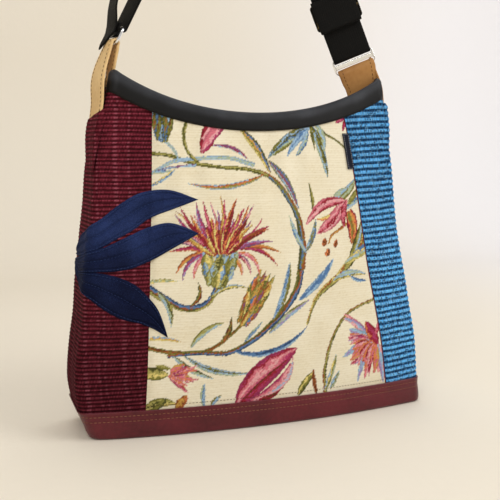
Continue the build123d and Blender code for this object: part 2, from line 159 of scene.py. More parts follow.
class Sock:
    """A shader socket that takes part in Python sums."""

    def __init__(self, graph: "Graph", socket: bpy.types.NodeSocket) -> None:
        """Hold one output socket of a graph."""
        self.graph = graph
        self.socket = socket

    def maths(self, operation: str, *others: Any) -> "Sock":
        """Add a Math node that starts from this value."""
        return self.graph.maths(operation, self, *others)

    def __add__(self, other: Any) -> "Sock":
        """Add a value."""
        return self.maths("ADD", other)

    def __sub__(self, other: Any) -> "Sock":
        """Take a value away."""
        return self.maths("SUBTRACT", other)

    def __mul__(self, other: Any) -> "Sock":
        """Multiply by a value."""
        return self.maths("MULTIPLY", other)

    def __rsub__(self, other: Any) -> "Sock":
        """Take this value away from another."""
        return self.graph.maths("SUBTRACT", other, self)

    __radd__ = __add__
    __rmul__ = __mul__

    def sine(self) -> "Sock":
        """Take the sine."""
        return self.maths("SINE")

    def size(self) -> "Sock":
        """Take the value without its sign."""
        return self.maths("ABSOLUTE")

    def ease(self, low: float, high: float) -> "Sock":
        """Rise smoothly from 0 at low to 1 at high."""
        settings = {"interpolation_type": "SMOOTHSTEP"}
        return self.graph.node("ShaderNodeMapRange", settings, {0: self, 1: low, 2: high})


class Graph:
    """The node tree of one material."""

    def __init__(self, name: str) -> None:
        """Start a material with one Principled shader.

        Args:
            name: The material's name.
        """
        self.material = bpy.data.materials.new(name)
        self.material.use_nodes = True
        self.tree = self.material.node_tree
        self.tree.nodes.clear()
        self.shader = self.tree.nodes.new("ShaderNodeBsdfPrincipled")
        output = self.tree.nodes.new("ShaderNodeOutputMaterial")
        self.tree.links.new(self.shader.outputs[0], output.inputs["Surface"])

    def feed(self, target: bpy.types.NodeSocket, value: Any) -> None:
        """Link a socket, or set its value.

        Args:
            target: The input socket.
            value: What feeds it: a socket, a number, or a colour of three numbers.
        """
        if isinstance(value, Sock):
            self.tree.links.new(value.socket, target)
        elif target.type == "RGBA" and len(value) == 3:
            target.default_value = (*value, 1.0)
        else:
            target.default_value = value

    def node(self, kind: str, settings: dict[str, Any] | None = None,
             inputs: dict[int | str, Any] | None = None, out: int = 0) -> Sock:
        """Add any node.

        Args:
            kind: The node's type.
            settings: Its properties, or a ramp's stops, which are set first.
            inputs: Values or links of its sockets.
            out: Which output to give back.

        Returns:
            The chosen output.
        """
        made = self.tree.nodes.new(kind)
        for key, value in (settings or {}).items():
            if key == "stops":
                ramp = made.color_ramp.elements
                while len(ramp) < len(value):
                    ramp.new(1.0)
                for element, (place, colour) in zip(ramp, value):
                    element.position = place
                    element.color = (*colour, 1.0)
            else:
                setattr(made, key, value)
        for key, value in (inputs or {}).items():
            self.feed(made.inputs[key], value)
        return Sock(self, made.outputs[out])

    def maths(self, operation: str, *values: Any) -> Sock:
        """Add a Math node."""
        return self.node("ShaderNodeMath", {"operation": operation}, dict(enumerate(values)))

    def mix(self, first: Any, second: Any, share: Any, blend: str = "MIX") -> Sock:
        """Mix two colours by a share."""
        settings = {"data_type": "RGBA", "blend_type": blend}
        return self.node("ShaderNodeMix", settings, {0: share, 6: first, 7: second}, 2)

    def cloth_uv(self) -> tuple[Sock, Sock]:
        """Give the places along and up a cloth, in metres."""
        uv = self.node("ShaderNodeUVMap", {"uv_map": "cloth"})
        return (self.node("ShaderNodeSeparateXYZ", None, {0: uv}),
                self.node("ShaderNodeSeparateXYZ", None, {0: uv}, 1))

    def place(self) -> Sock:
        """Give the place on the object, in metres."""
        return self.node("ShaderNodeTexCoord", None, None, 3)

    def noise(self, scale: float, detail: float = 2.0, stretch: Colour = (1.0, 1.0, 1.0)) -> Sock:
        """Give soft noise over the object, with a scale in cells a metre."""
        place = self.node("ShaderNodeVectorMath", {"operation": "MULTIPLY"}, {0: self.place(), 1: stretch})
        return self.node("ShaderNodeTexNoise", None, {"Vector": place, "Scale": scale, "Detail": detail})

    def cells(self, scale: float) -> Sock:
        """Give the distance to scattered points, with a scale in cells a metre."""
        return self.node("ShaderNodeTexVoronoi", None, {"Vector": self.place(), "Scale": scale})

    def bump(self, height: Sock, depth: float, strength: float = 1.0) -> Sock:
        """Turn a height into a normal, with its depth in metres."""
        return self.node("ShaderNodeBump", None, {"Height": height, "Distance": depth, "Strength": strength})

    def finish(self, **inputs: Any) -> Material:
        """Set the shader's sockets.

        Args:
            inputs: Values or links, by the sockets' names with underscores for spaces.

        Returns:
            The material.
        """
        for key, value in inputs.items():
            self.feed(self.shader.inputs[key.replace("_", " ")], value)
        return self.material


@dataclass(frozen=True)
class DyedCloth:
    """Cloth whose yarn colours are held in the mesh."""

    name: str
    thread: float
    depth: float
    contrast: float = 0.5
    roughness: float = 0.9
    warp: float = 1.25
    shadow: Colour = (0.52, 0.5, 0.47)

    def material(self) -> Material:
        """Make the cloth with a fine weave over its yarn colours.

        Returns:
            The material.
        """
        g = Graph(self.name)
        dye = g.node("ShaderNodeAttribute", {"attribute_name": "dye"})
        along, up = g.cloth_uv()
        weft = (up * (math.tau / self.thread)).sine()
        warp = (along * (math.tau / (self.thread * self.warp))).sine()
        weave = weft * 0.5 + warp * weft * 0.5
        fuzz = g.noise(2600, 2)
        shaded = g.mix(dye, self.shadow, 1.0, "MULTIPLY")
        colour = g.mix(dye, shaded, (weave * -0.5 + 0.5) * fuzz * self.contrast)
        height = weave * 0.6 + fuzz * 0.8
        return g.finish(
            Base_Color=colour, Roughness=fuzz * 0.12 + (self.roughness - 0.06),
            Normal=g.bump(height, self.depth), Specular_IOR_Level=0.05,
        )


@dataclass(frozen=True)
class PlainCloth:
    """Close-woven cloth of one dye, with a twill or plain ground."""

    name: str
    dark: Colour
    light: Colour
    thread: float = 0.0009
    slant: float = 0.0
    depth: float = 0.00015
    roughness: float = 0.78
    shine: float = 0.06
    mottle: float = 0.35
    grain: float = 2400.0
    # painted shade: how much darker the cloth is painted low down, and the heights between which that
    # darkening eases off (amount, low, high)
    tone_drift_and_painted_shade: Triple = (0.0, 0.0, 1.0)

    def material(self) -> Material:
        """Make the cloth with its threads and a soft random change of tone, with painted shade that darkens
        it low down.

        Returns:
            The material.
        """
        g = Graph(self.name)
        along, up = g.cloth_uv()
        lines = ((along * self.slant + up) * (math.tau / self.thread)).sine()
        cross = ((along - up * self.slant) * (math.tau / self.thread)).sine()
        weave = lines * 0.6 + lines * cross * 0.4
        cloud = g.noise(34, 4)
        fuzz = g.noise(self.grain, 2)
        share = weave * 0.16 + cloud * 0.75 + (fuzz - 0.5) * self.mottle + 0.07
        # painted shade: full darkening below the low height, easing off up to the high one
        amount, low, high = self.tone_drift_and_painted_shade
        share = (share - (1 - up.ease(low, high)) * amount).ease(0.0, 1.0)
        colour = g.mix(self.dark, self.light, share)
        return g.finish(
            Base_Color=colour, Roughness=cloud * 0.14 + (self.roughness - 0.07),
            Normal=g.bump(weave * 0.5 + fuzz * 0.7, self.depth), Specular_IOR_Level=self.shine,
        )


@dataclass(frozen=True)
class Leather:
    """Tanned leather with grain, soft mottling and worn high spots."""

    name: str
    dark: Colour
    light: Colour
    roughness: float
    grain: float = 1500.0
    depth: float = 0.00012
    coat: float = 0.0
    shine: float = 0.3

    def material(self) -> Material:
        """Make the leather.

        Returns:
            The material.
        """
        g = Graph(self.name)
        pores = g.cells(self.grain)
        folds = g.noise(260, 4)
        cloud = g.noise(22, 4)
        share = (cloud * 0.85 + folds * 0.35 - 0.1).ease(0.1, 0.9)
        colour = g.mix(self.dark, self.light, share)
        height = pores.ease(0.0, 0.6) * 0.7 + folds * 0.9
        return g.finish(
            Base_Color=colour, Roughness=folds * 0.16 + (self.roughness - 0.08), Coat_Weight=self.coat,
            Coat_Roughness=0.3, Normal=g.bump(height, self.depth), Specular_IOR_Level=self.shine,
        )


@dataclass(frozen=True)
class Webbing:
    """Ribbed strap webbing, with herringbone rows between its selvedges."""

    name: str
    dark: Colour
    light: Colour
    rib: float = 0.0021
    pick: float = 0.0013

    def material(self) -> Material:
        """Make the webbing from its places across and along.

        Returns:
            The material.
        """
        g = Graph(self.name)
        across, along = g.cloth_uv()
        zig = (across * (math.tau / (4 * self.rib))).sine().size() * self.rib
        picks = ((along + zig) * (math.tau / self.pick)).sine()
        ribs = (across * (math.tau / self.rib)).sine()
        fuzz = g.noise(2200, 2)
        weave = picks * 0.55 + ribs * 0.35
        colour = g.mix(self.dark, self.light, (weave * 0.35 + fuzz * 0.7).ease(0.0, 1.0))
        return g.finish(
            Base_Color=colour, Roughness=fuzz * 0.2 + 0.62,
            Normal=g.bump(weave * 0.6 + fuzz * 0.4, 0.0003), Specular_IOR_Level=0.16,
        )


@dataclass(frozen=True)
class Metal:
    """Plated metal with fine scuffs."""

    name: str
    colour: Colour
    worn: Colour
    roughness: float
    wear: float = 0.3

    def material(self) -> Material:
        """Make the metal, brighter where its plating is rubbed.

        Returns:
            The material.
        """
        g = Graph(self.name)
        scuff = g.noise(420, 5, (1.0, 1.0, 5.0))
        patch = (g.noise(160, 4) + scuff * 0.3).ease(0.75 - self.wear * 0.4, 0.95 - self.wear * 0.2)
        return g.finish(
            Base_Color=g.mix(self.colour, self.worn, patch), Metallic=1.0,
            Roughness=scuff * 0.16 + (self.roughness - 0.06), Normal=g.bump(scuff, 0.00003),
        )


@dataclass(frozen=True)
class Thread:
    """Twisted sewing thread."""

    name: str
    colour: Colour

    def material(self) -> Material:
        """Make the thread.

        Returns:
            The material.
        """
        g = Graph(self.name)
        fuzz = g.noise(1800, 3)
        dark = tuple(0.55 * value for value in self.colour)
        return g.finish(Base_Color=g.mix(dark, self.colour, fuzz.ease(0.3, 0.6)), Roughness=0.7,
                        Specular_IOR_Level=0.15)


@dataclass(frozen=True)
class Backdrop:
    """Pale plaster for the floor and the wall behind."""

    name: str
    warm: Colour
    painted_light_white: Colour

    def material(self) -> Material:
        """Make the plaster, warm cream painted lighter towards near white along the room, as painted light.

        Returns:
            The material.
        """
        g = Graph(self.name)
        rough = g.noise(90, 6)
        along = g.node("ShaderNodeSeparateXYZ", None, {0: g.place()})
        # painted light: the cream plaster is painted brighter towards near white along X
        return g.finish(Base_Color=g.mix(self.warm, self.painted_light_white, along.ease(0.25, 1.2)), Roughness=0.92,
                        Normal=g.bump(rough, 0.0012, 0.35), Specular_IOR_Level=0.1)


def attach(obj: Piece, slot: str | None, *nodes: str,
           body: Rides | None = Rides.BAG) -> Piece:
    """Make a piece ride on a body and stand for solids.

    Args:
        obj: The piece.
        slot: Not used.
        nodes: The solids that it stands for.
        body: What it rides on, or nothing.

    Returns:
        The piece.
    """
    if body is not None:
        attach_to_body(obj, body.value)
    if nodes:
        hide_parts(*nodes)
    log.info("%s: %d faces", obj.name, len(obj.data.polygons))
    return obj


def make_object(name: str, points: Array, faces: Array, finish: Material,
                uv: Array | None = None, dye: Array | None = None,
                caps: Sequence[list[int]] = ()) -> Piece:
    """Make a smooth mesh object.

    Args:
        name: The piece's name.
        points: Its points or a grid of them, in metres.
        faces: Indices of its quads.
        finish: Its material.
        uv: A cloth place for each point.
        dye: A colour for each point.
        caps: Faces of any size that stay flat.

    Returns:
        The new object, linked to the scene.
    """
    mesh = bpy.data.meshes.new(name)
    mesh.from_pydata(points.reshape(-1, 3).tolist(), [], [*faces.tolist(), *caps])
    mesh.polygons.foreach_set("use_smooth", np.arange(len(mesh.polygons)) < len(faces))
    if uv is not None:
        corner = np.zeros(len(mesh.loops), np.int32)
        mesh.loops.foreach_get("vertex_index", corner)
        mesh.uv_layers.new(name="cloth").data.foreach_set("uv", uv[corner].astype(np.float32).ravel())
    if dye is not None:
        layer = mesh.color_attributes.new("dye", "FLOAT_COLOR", "POINT")
        rgba = np.concatenate([dye, np.ones((len(dye), 1))], axis=1)
        layer.data.foreach_set("color", rgba.astype(np.float32).ravel())
    mesh.materials.append(finish)
    mesh.validate()
    obj = bpy.data.objects.new(name, mesh)
    bpy.context.scene.collection.objects.link(obj)
    return obj


def grid_faces(rows: int, columns: int, around: bool = False) -> Array:
    """Join a grid of points.

    Args:
        rows: How many rows it has.
        columns: How many points each row has.
        around: Whether each row closes on itself.

    Returns:
        The grid's quads.
    """
    index = np.arange(rows * columns).reshape(rows, columns)
    right = np.roll(index, -1, axis=1) if around else index[:, 1:]
    left = index if around else index[:, :-1]
    return np.stack([left[:-1], right[:-1], right[1:], left[1:]], axis=-1).reshape(-1, 4)


def cap_faces(count: int) -> Array:
    """Give the quads that close a ring of points by joining its two halves."""
    return np.array([[i, i + 1, count - 2 - i, count - 1 - i] for i in range(count // 2 - 1)])


class Outline(NamedTuple):
    """The sizes of level outlines.

    They are half the depth, the corners' radius, how far the front bows out, the bow's radius, half angle and
    half chord, and the lengths to a corner, round it and on to the middle of the side.
    """

    depth: Array
    corner: Array
    bow: Array
    radius: Array
    angle: Array
    chord: Array
    arc: Array
    turn: Array
    flat: Array


@dataclass(frozen=True)
class BagForm:
    """The slumped body as level outlines up its height."""

    base_width: float = 0.339
    base_depth: float = 0.071
    rim_width: float = 0.2625
    rim_depth: float = 0.040
    height: float = 0.326
    belly: float = 0.017
    slump: float = 0.009
    base_corner: float = 0.010
    rim_corner: float = 0.008
    rim_dip: float = 0.036
    rim_tilt: float = 9.0
    band_height: float = 0.017
    band_tuck: float = 0.006
    base_height: float = 0.026
    wall: float = 0.0033
    left_seam: Pair = (-0.669, -0.721)
    right_seam: Pair = (0.759, 0.635)
    back_seam: float = 0.93
    level_shares: tuple[float, ...] = (0.0, 0.15, 0.35, 0.58, 0.78, 0.89, 0.955, 1.02)
    width_shares: tuple[float, ...] = (1.0, 1.074, 0.828, 0.552, 0.378, 0.217, 0.098, 0.0)
    depth_shares: tuple[float, ...] = (1.0, 1.10, 0.95, 0.66, 0.35, 0.15, 0.06, 0.0)
    belly_shares: tuple[float, ...] = (0.90, 1.0, 1.0, 0.85, 0.62, 0.42, 0.30, 0.20)
    slump_shares: tuple[float, ...] = (0.0, 0.74, 0.80, 1.0, 0.98, 0.686, 0.524, 0.494)

    def read(self, shares: Sequence[float], z: Array) -> Array:
        """Read one shape table at heights."""
        return through([share * self.height for share in self.level_shares], shares, np.asarray(z, float))

    def middle(self, z: Array) -> Array:
        """Give where the middle of the body lies."""
        return -self.slump * self.read(self.slump_shares, z)

    def half_width(self, z: Array) -> Array:
        """Give half the width."""
        return (self.rim_width + (self.base_width - self.rim_width) * self.read(self.width_shares, z)) / 2

    def outline(self, z: Array) -> Outline:
        """Find the level outlines.

        Args:
            z: Heights above the floor.

        Returns:
            Their sizes.
        """
        share = self.read(self.depth_shares, z)
        x = self.half_width(z)
        y = (self.rim_depth + (self.base_depth - self.rim_depth) * share) / 2
        r = self.rim_corner + (self.base_corner - self.rim_corner) * share
        bow = self.belly * self.read(self.belly_shares, z)
        chord = x - r
        for last in (False, False, True):
            radius = (chord ** 2 + bow ** 2) / (2 * bow)
            angle = np.arcsin(chord / radius)
            chord = chord if last else x - r * (1 - np.sin(angle))
        turn, flat = r * (math.pi / 2 - angle), y - r * np.cos(angle)
        return Outline(y, r, bow, radius, angle, chord, radius * angle, turn, flat)

    def half_girth(self, z: Array) -> Array:
        """Give the distance round from the front middle to the back middle."""
        sizes = self.outline(z)
        return 2 * (sizes.arc + sizes.turn + sizes.flat)

    def front(self, z: Array, x: Array) -> Array:
        """Give the distance round to an X on the front."""
        radius = self.outline(z).radius
        return radius * np.arcsin((x - self.middle(z)) / radius)

    def back(self, z: Array, x: Array) -> Array:
        """Give the distance round to an X on the back."""
        there = self.front(z, x)
        return np.sign(there) * self.half_girth(z) - there

    def place(self, z: Array, p: Array, out: Array | float = 0.0) -> tuple[Array, Array]:
        """Give points on the body.

        Args:
            z: Heights above the floor.
            p: Distances round from the front middle, negative to the left.
            out: How far the points stand out from the cloth.

        Returns:
            Points and their level outward normals.
        """
        z, p = np.broadcast_arrays(np.asarray(z, float), np.asarray(p, float))
        y, r, bow, radius, angle, chord, arc, turn, flat = self.outline(z)
        half = arc + turn + flat
        a = np.abs(p)
        behind = a > half
        b = np.where(behind, 2 * half - a, a)
        on_arc = b <= arc
        s = np.where(on_arc, b / radius, angle + np.clip((b - arc) / r, 0, math.pi / 2 - angle))
        across = np.where(on_arc, radius * np.sin(s), chord - r * np.sin(angle) + r * np.sin(s))
        deep = np.where(on_arc, y + bow - radius * (1 - np.cos(s)), flat + r * np.cos(s))
        deep = deep - np.clip(b - arc - turn, 0, None)
        sign = np.where(p < 0, -1.0, 1.0)
        face = np.where(behind, 1.0, -1.0)
        normal = np.stack([sign * np.sin(s), face * np.cos(s), np.zeros_like(z)], axis=-1)
        point = np.stack([self.middle(z) + sign * across, face * deep, z], axis=-1)
        return point + normal * np.asarray(out)[..., None], normal

    def rim(self, spot: Array, drop: float = 0.0) -> Array:
        """Give the height of the dipped rim, or of a line that runs below it.

        Args:
            spot: Points under the line.
            drop: How far the line runs below the rim.

        Returns:
            A height for each point.
        """
        radius = ((self.rim_width / 2) ** 2 + self.rim_dip ** 2) / (2 * self.rim_dip)
        tilt = math.radians(self.rim_tilt)
        dx = np.clip(spot[..., 0] - self.middle(np.array(self.height)), -radius, radius)
        fall = np.sqrt((radius + drop) ** 2 - dx ** 2) + spot[..., 1] * math.sin(tilt)
        return self.height - self.rim_dip + radius - fall / math.cos(tilt)

    def seam(self, foot_share: float, head_share: float) -> Callable[[Array], Array]:
        """Lay a straight seam from the base to the band.

        Args:
            foot_share: Where its foot lies, as a share of half the width.
            head_share: Where its head lies.

        Returns:
            The seam's X as a function of height.
        """
        low, high = np.array(self.base_height), np.array(self.height - self.band_height)
        foot = self.middle(low) + foot_share * self.half_width(low)
        head = self.middle(high) + head_share * self.half_width(high)
        return lambda z: foot + (head - foot) * (z - low) / (high - low)

    def trim(self, z_rows: Array, columns: int, around: Callable[[Array], Array], drop: float,
             out: float = 0.0) -> tuple[Array, Array, Array]:
        """Lay a grid of places on the body, cut off at a line below the rim.

        Args:
            z_rows: The heights of its rows before the cut.
            columns: How many places each row has.
            around: Gives distances round at a grid of heights.
            drop: How far the line runs below the rim.
            out: How far the grid stands out from the cloth.

        Returns:
            Heights, distances round, and the line's heights.
        """
        z = np.repeat(z_rows[:, None], columns, axis=1)
        for _ in range(3):
            top = self.rim(self.place(z, around(z), out)[0], drop)
            z = np.minimum(z_rows[:, None], top)
        return z, around(z), top

    def slack(self, p: Array, z: Array, spot: Array) -> Array:
        """Shape slack cloth with dents, and ripples that hang from the band.

        Args:
            p: Distances round from the front middle.
            z: Heights above the floor.
            spot: The points there.

        Returns:
            How far the cloth stands out at each.
        """
        below = self.rim(spot, self.band_height) - z
        held = ease(0.0, 0.03, z - self.base_height) * ease(-0.004, 0.02, below)
        dents = 1.7 * drift(p / 0.052, z / 0.075, 3.0) + 0.7 * drift(p / 0.024, z / 0.034, 5.0)
        dents = dents + 0.85 * drift(p / 0.012, z / 0.085, 6.0)
        wander = 0.9 * drift(p / 0.05, z / 0.09, 8.0)
        ripples = 1.2 * np.sin(math.tau * p / 0.027 + 3 * wander) * np.exp(-np.clip(below, 0, None) / 0.05)
        return MM * held * (dents + ripples)


@dataclass(frozen=True)
class Blade:
    """One leaf or petal of the woven figure, in millimetres on the panel."""

    base: Pair
    tip: Pair
    width: float
    bend: float
    dyes: str

    def cover(self, x: Array, z: Array) -> tuple[Array, Array, Array]:
        """Find what the blade covers.

        Args:
            x: Places across the panel.
            z: Heights.

        Returns:
            Which places it covers, and how far across and along it they lie.
        """
        base, tip = np.array(self.base), np.array(self.tip)
        length = np.linalg.norm(tip - base)
        axis = (tip - base) / length
        along = ((x - base[0]) * axis[0] + (z - base[1]) * axis[1]) / length
        inside = np.clip(along, 0, 1)
        off = (z - base[1]) * axis[0] - (x - base[0]) * axis[1]
        off = off - self.bend * length * 4 * inside * (1 - inside)
        half = self.width * 0.5 * np.clip(inside, 1e-6, 1) ** 0.6 * (1 - inside) ** 0.75 * 1.75
        across = off / np.maximum(half, 0.05)
        return (along > 0) & (along < 1) & (np.abs(across) < 1), across, along


@dataclass(frozen=True)
class Stem:
    """One winding stem of the woven figure, in millimetres on the panel."""

    line: Pairs
    width: float
    thin: float
    dyes: str

    def cover(self, x: Array, z: Array) -> tuple[Array, Array, Array]:
        """Find what the stem covers.

        Args:
            x: Places across the panel.
            z: Heights.

        Returns:
            Which places it covers, and how far across and along it they lie.
        """
        knots = np.array(self.line, float)
        steps = np.arange(len(knots), dtype=float)
        fine = np.linspace(0, len(knots) - 1, 14 * len(knots))
        path = np.stack([through(steps, knots[:, 0], fine), through(steps, knots[:, 1], fine)], axis=1)
        best, across, along = np.full(x.shape, 1e9), np.zeros(x.shape), np.zeros(x.shape)
        for i in range(len(path) - 1):
            run = path[i + 1] - path[i]
            length = max(np.hypot(*run), 1e-9)
            t = np.clip(((x - path[i, 0]) * run[0] + (z - path[i, 1]) * run[1]) / length ** 2, 0, 1)
            dx, dz = x - path[i, 0] - t * run[0], z - path[i, 1] - t * run[1]
            gap = np.hypot(dx, dz)
            near = gap < best
            best = np.where(near, gap, best)
            across = np.where(near, np.sign(run[0] * dz - run[1] * dx) * gap, across)
            along = np.where(near, (i + t) / (len(path) - 1), along)
        half = 0.5 * (self.width + (self.thin - self.width) * along)
        return best < half, across / half, along


class Figure:
    """A flowering figure woven on a cream ground, drawn in millimetres on the panel."""

    yarns: dict[str, Colour] = {
        "c": tone(240, 232, 209), "C": tone(218, 203, 166), "o": tone(128, 124, 62), "O": tone(84, 84, 46),
        "m": tone(168, 160, 92), "s": tone(170, 182, 150), "b": tone(88, 122, 164), "B": tone(54, 74, 108),
        "l": tone(154, 182, 206), "r": tone(152, 88, 50), "R": tone(104, 58, 36), "y": tone(224, 204, 124),
        "g": tone(200, 154, 76), "k": tone(150, 44, 58), "p": tone(208, 112, 126), "n": tone(168, 62, 100),
        "u": tone(130, 86, 124), "P": tone(224, 162, 164), "a": tone(212, 126, 78), "v": tone(160, 138, 180),
    }

    stems: tuple[Stem, ...] = (
        Stem(((-120, 83), (-100, 78), (-82, 76), (-62, 77), (-48, 84), (-38, 92), (-27, 101)),
             4.0, 2.6, "orRo"),
        Stem(((-98, 74), (-70, 75), (-45, 73), (-30, 78), (-12, 88), (4, 102), (18, 117), (26, 132),
              (30, 152)), 3.5, 7.5, "BbrOo"),
        Stem(((30, 148), (32, 165), (31, 180), (28, 196), (21, 210), (13, 222), (4, 231), (-8, 237)),
             7.5, 3.6, "robO"),
        Stem(((0, 233), (-20, 239), (-45, 241), (-70, 245), (-92, 252), (-112, 253)), 3.6, 3.4, "omOo"),
        Stem(((-14, 243), (-35, 249), (-60, 249), (-85, 247), (-100, 240), (-114, 232)), 4.2, 2.6, "lsl"),
        Stem(((-68, 243), (-90, 241), (-110, 235)), 2.4, 1.8, "ul"),
        Stem(((-73, 284), (-77, 268), (-74, 255), (-66, 246)), 3.4, 3.2, "oOm"),
        Stem(((-52, 138), (-55, 129), (-62, 120), (-72, 116), (-86, 117), (-98, 124), (-122, 140)), 4.4, 7.5,
             "BbrOm"),
        Stem(((106, 176), (98, 164), (86, 151), (72, 138), (56, 128), (46, 119), (40, 108), (35, 94)),
             11.0, 2.2, "yromO"),
        Stem(((124, 118), (112, 111), (98, 107), (80, 100), (68, 88), (60, 74), (55, 58), (53, 44), (55, 26)),
             2.6, 3.8, "romO"),
        Stem(((52, 282), (62, 272), (72, 266), (84, 257)), 2.4, 1.8, "oO"),
        Stem(((82, 186), (72, 180), (64, 176), (60, 168)), 3.0, 1.6, "rg"),
    )

    blades: tuple[Blade, ...] = tuple(
        Blade((root_x, root_z), (tip_x, tip_z), width, bend, dyes)
        for root_x, root_z, tip_x, tip_z, width, bend, dyes in (
            (-24, 276, 4, 234, 11, 0.05, "yogbO"), (2, 247, 30, 202, 10, 0.06, "olrubo"),
            (-18, 248, -54, 260, 5.5, -0.13, "nukl"), (-2, 235, -76, 227, 7, 0.10, "lraoml"),
            (-97, 266, -82, 246, 4, 0.1, "lsl"), (-86, 240, -112, 224, 4.5, 0.06, "ybl"),
            (-90, 238, -116, 236, 4, 0.0, "bls"), (44, 194, 41, 226, 5, -0.05, "moO"),
            (36, 160, 20, 196, 6.5, 0.05, "llsb"), (35, 162, 47, 192, 7.5, -0.06, "bol"),
            (26, 117, 65, 154, 11, -0.05, "lbbl"), (0, 100, 18, 154, 10, -0.06, "oolbl"),
            (-4, 88, 38, 117, 8, 0.04, "lvso"), (-38, 74, 35, 92, 9, -0.16, "lbBb"),
            (-28, 82, -10, 100, 5, 0.0, "lbs"), (-78, 80, -46, 101, 8, 0.12, "lsmo"),
            (-52, 82, -40, 107, 6.5, -0.14, "OroR"), (-94, 74, -56, 50, 7, -0.07, "lsO"),
            (-84, 73, -22, 53, 8, -0.10, "slOol"), (-120, 90, -86, 86, 5, 0.05, "ygl"),
            (-116, 139, -88, 140, 5, 0.08, "ysm"), (-78, 117, -70, 140, 6, -0.22, "RroO"),
            (-60, 124, -24, 132, 6, 0.14, "oymlo"), (-106, 132, -95, 100, 8, 0.12, "lsOm"),
            (-52, 282, -62, 253, 19, 0.06, "kPpnk"), (-38, 280, -62, 255, 13, -0.05, "ppPn"),
            (46, 278, 2, 249, 15, -0.05, "olObso"), (46, 278, 20, 250, 9, -0.04, "lbll"),
            (44, 276, 30, 250, 7, 0.05, "lsb"), (46, 282, 62, 230, 11, 0.05, "sloOl"),
            (52, 282, 60, 255, 10, 0.10, "osls"), (46, 280, 50, 256, 5, 0.0, "oOo"),
            (36, 290, 60, 282, 9, 0.0, "Oob"), (90, 292, 74, 282, 9, 0.0, "kpn"),
            (86, 286, 80, 274, 6, 0.0, "kn"), (66, 206, 96, 230, 13, -0.06, "ossol"),
            (66, 206, 84, 220, 9, 0.1, "ls"), (80, 199, 104, 212, 8, 0.05, "lsb"),
            (84, 204, 100, 222, 8, 0.0, "omo"), (84, 198, 87, 166, 17, 0.10, "kaorak"),
            (86, 200, 92, 176, 9, 0.10, "gak"), (82, 208, 48, 178, 19, 0.06, "pPpkPp"),
            (82, 208, 36, 186, 15, -0.16, "pkPPpk"), (83, 209, 79, 182, 9, -0.08, "kpk"),
            (64, 195, 48, 192, 5, 0.1, "ya"), (84, 150, 102, 190, 13, -0.04, "olmoO"),
            (78, 148, 114, 160, 10, 0.04, "ymsly"), (88, 156, 114, 168, 7, 0.0, "yb"),
            (62, 132, 104, 136, 10, 0.10, "yolsl"), (84, 136, 106, 130, 5, -0.1, "lb"),
            (54, 26, 66, 62, 8, -0.02, "soyl"), (60, 28, 70, 46, 7, 0.0, "sol"),
            (26, 26, 42, 48, 11, 0.05, "Ooyo"), (46, 24, 41, 51, 6, 0.04, "rRr"),
            (-36, 24, 24, 72, 35, 0.06, "nknpPpkn"), (-30, 22, 20, 60, 17, -0.14, "kRkPpn"),
            (-34, 24, 14, 62, 4, 0.02, "kR"), (-8, 30, 20, 66, 7, -0.2, "PlP"),
            (-124, 60, -98, 57, 17, 0.0, "oymO"), (-110, 66, -96, 62, 6, 0.0, "om"),
            (-66, 24, -66, 47, 7, 0.06, "lbs"), (-60, 24, -50, 34, 6, 0.1, "lo"),
            (-92, 24, -82, 37, 13, 0.0, "argr"), (-122, 24, -92, 30, 13, 0.15, "oyOmo"),
            (-112, 24, -100, 36, 8, 0.0, "Oo"),
        )
    )

    @staticmethod
    def scales(base: Pair, tip: Pair, width: float, rows: int,
               dyes: Sequence[str]) -> list[Blade]:
        """Lay overlapping scales over an egg-shaped bud.

        Args:
            base: Where the bud meets its stem.
            tip: Its far end.
            width: Its greatest width.
            rows: How many rows of scales.
            dyes: The yarn mixes, taken in turn.

        Returns:
            The bud and its scales, far ones first.
        """
        foot, head = np.array(base), np.array(tip)
        axis = head - foot
        side = np.array([axis[1], -axis[0]]) / np.linalg.norm(axis)
        size = np.linalg.norm(axis) / rows
        found = [Blade(base, tip, width * 1.05, 0.0, dyes[0])]
        for row in range(rows - 1, -1, -1):
            up = (row + 0.1) / (rows + 0.4)
            half = width * 0.5 * math.sin(math.pi * (0.14 + 0.66 * (up + 0.1)))
            count = 3 + row % 2
            for i in range(count):
                across = half * (2 * (i + 0.5) / count - 1)
                root = foot + axis * up + side * across * 0.8
                point = root + axis / np.linalg.norm(axis) * size * 1.75 + side * across * 0.25
                found.append(Blade(tuple(root), tuple(point), 1.75 * half * 2 / count / 1.6, 0.0,
                                   dyes[(i * 2 + row) % len(dyes)]))
        return found

    @staticmethod
    def fan(centre: Pair, start: float, stop: float, count: int, short: float, long: float,
            width: float, dyes: Sequence[str], seed: float) -> list[Blade]:
        """Spread petals round a centre.

        Args:
            centre: Where the petals spring from.
            start: The first petal's angle, in degrees.
            stop: The last petal's angle.
            count: How many petals.
            short: The shortest petal.
            long: The longest petal.
            width: Their width.
            dyes: The yarn mixes, taken in turn.
            seed: Scatters the petals.

        Returns:
            The petals, back ones first.
        """
        order = np.arange(count, dtype=float)
        loose = hashed(order, order * 3 + 1, seed)
        found = []
        for i in range(count):
            angle = math.radians(start + (stop - start) * (i + 0.7 * loose[i]) / count)
            reach = short + (long - short) * hashed(np.array(i * 2.0), np.array(i + 5.0), seed)
            root = (centre[0] + 7 * math.cos(angle), centre[1] + 3 * math.sin(angle))
            tip = (centre[0] + reach * math.cos(angle), centre[1] + reach * math.sin(angle))
            found.append(Blade(root, tip, width * (0.7 + 0.6 * loose[i]), 0.16 * (loose[i] - 0.5),
                               dyes[i % len(dyes)]))
        return found

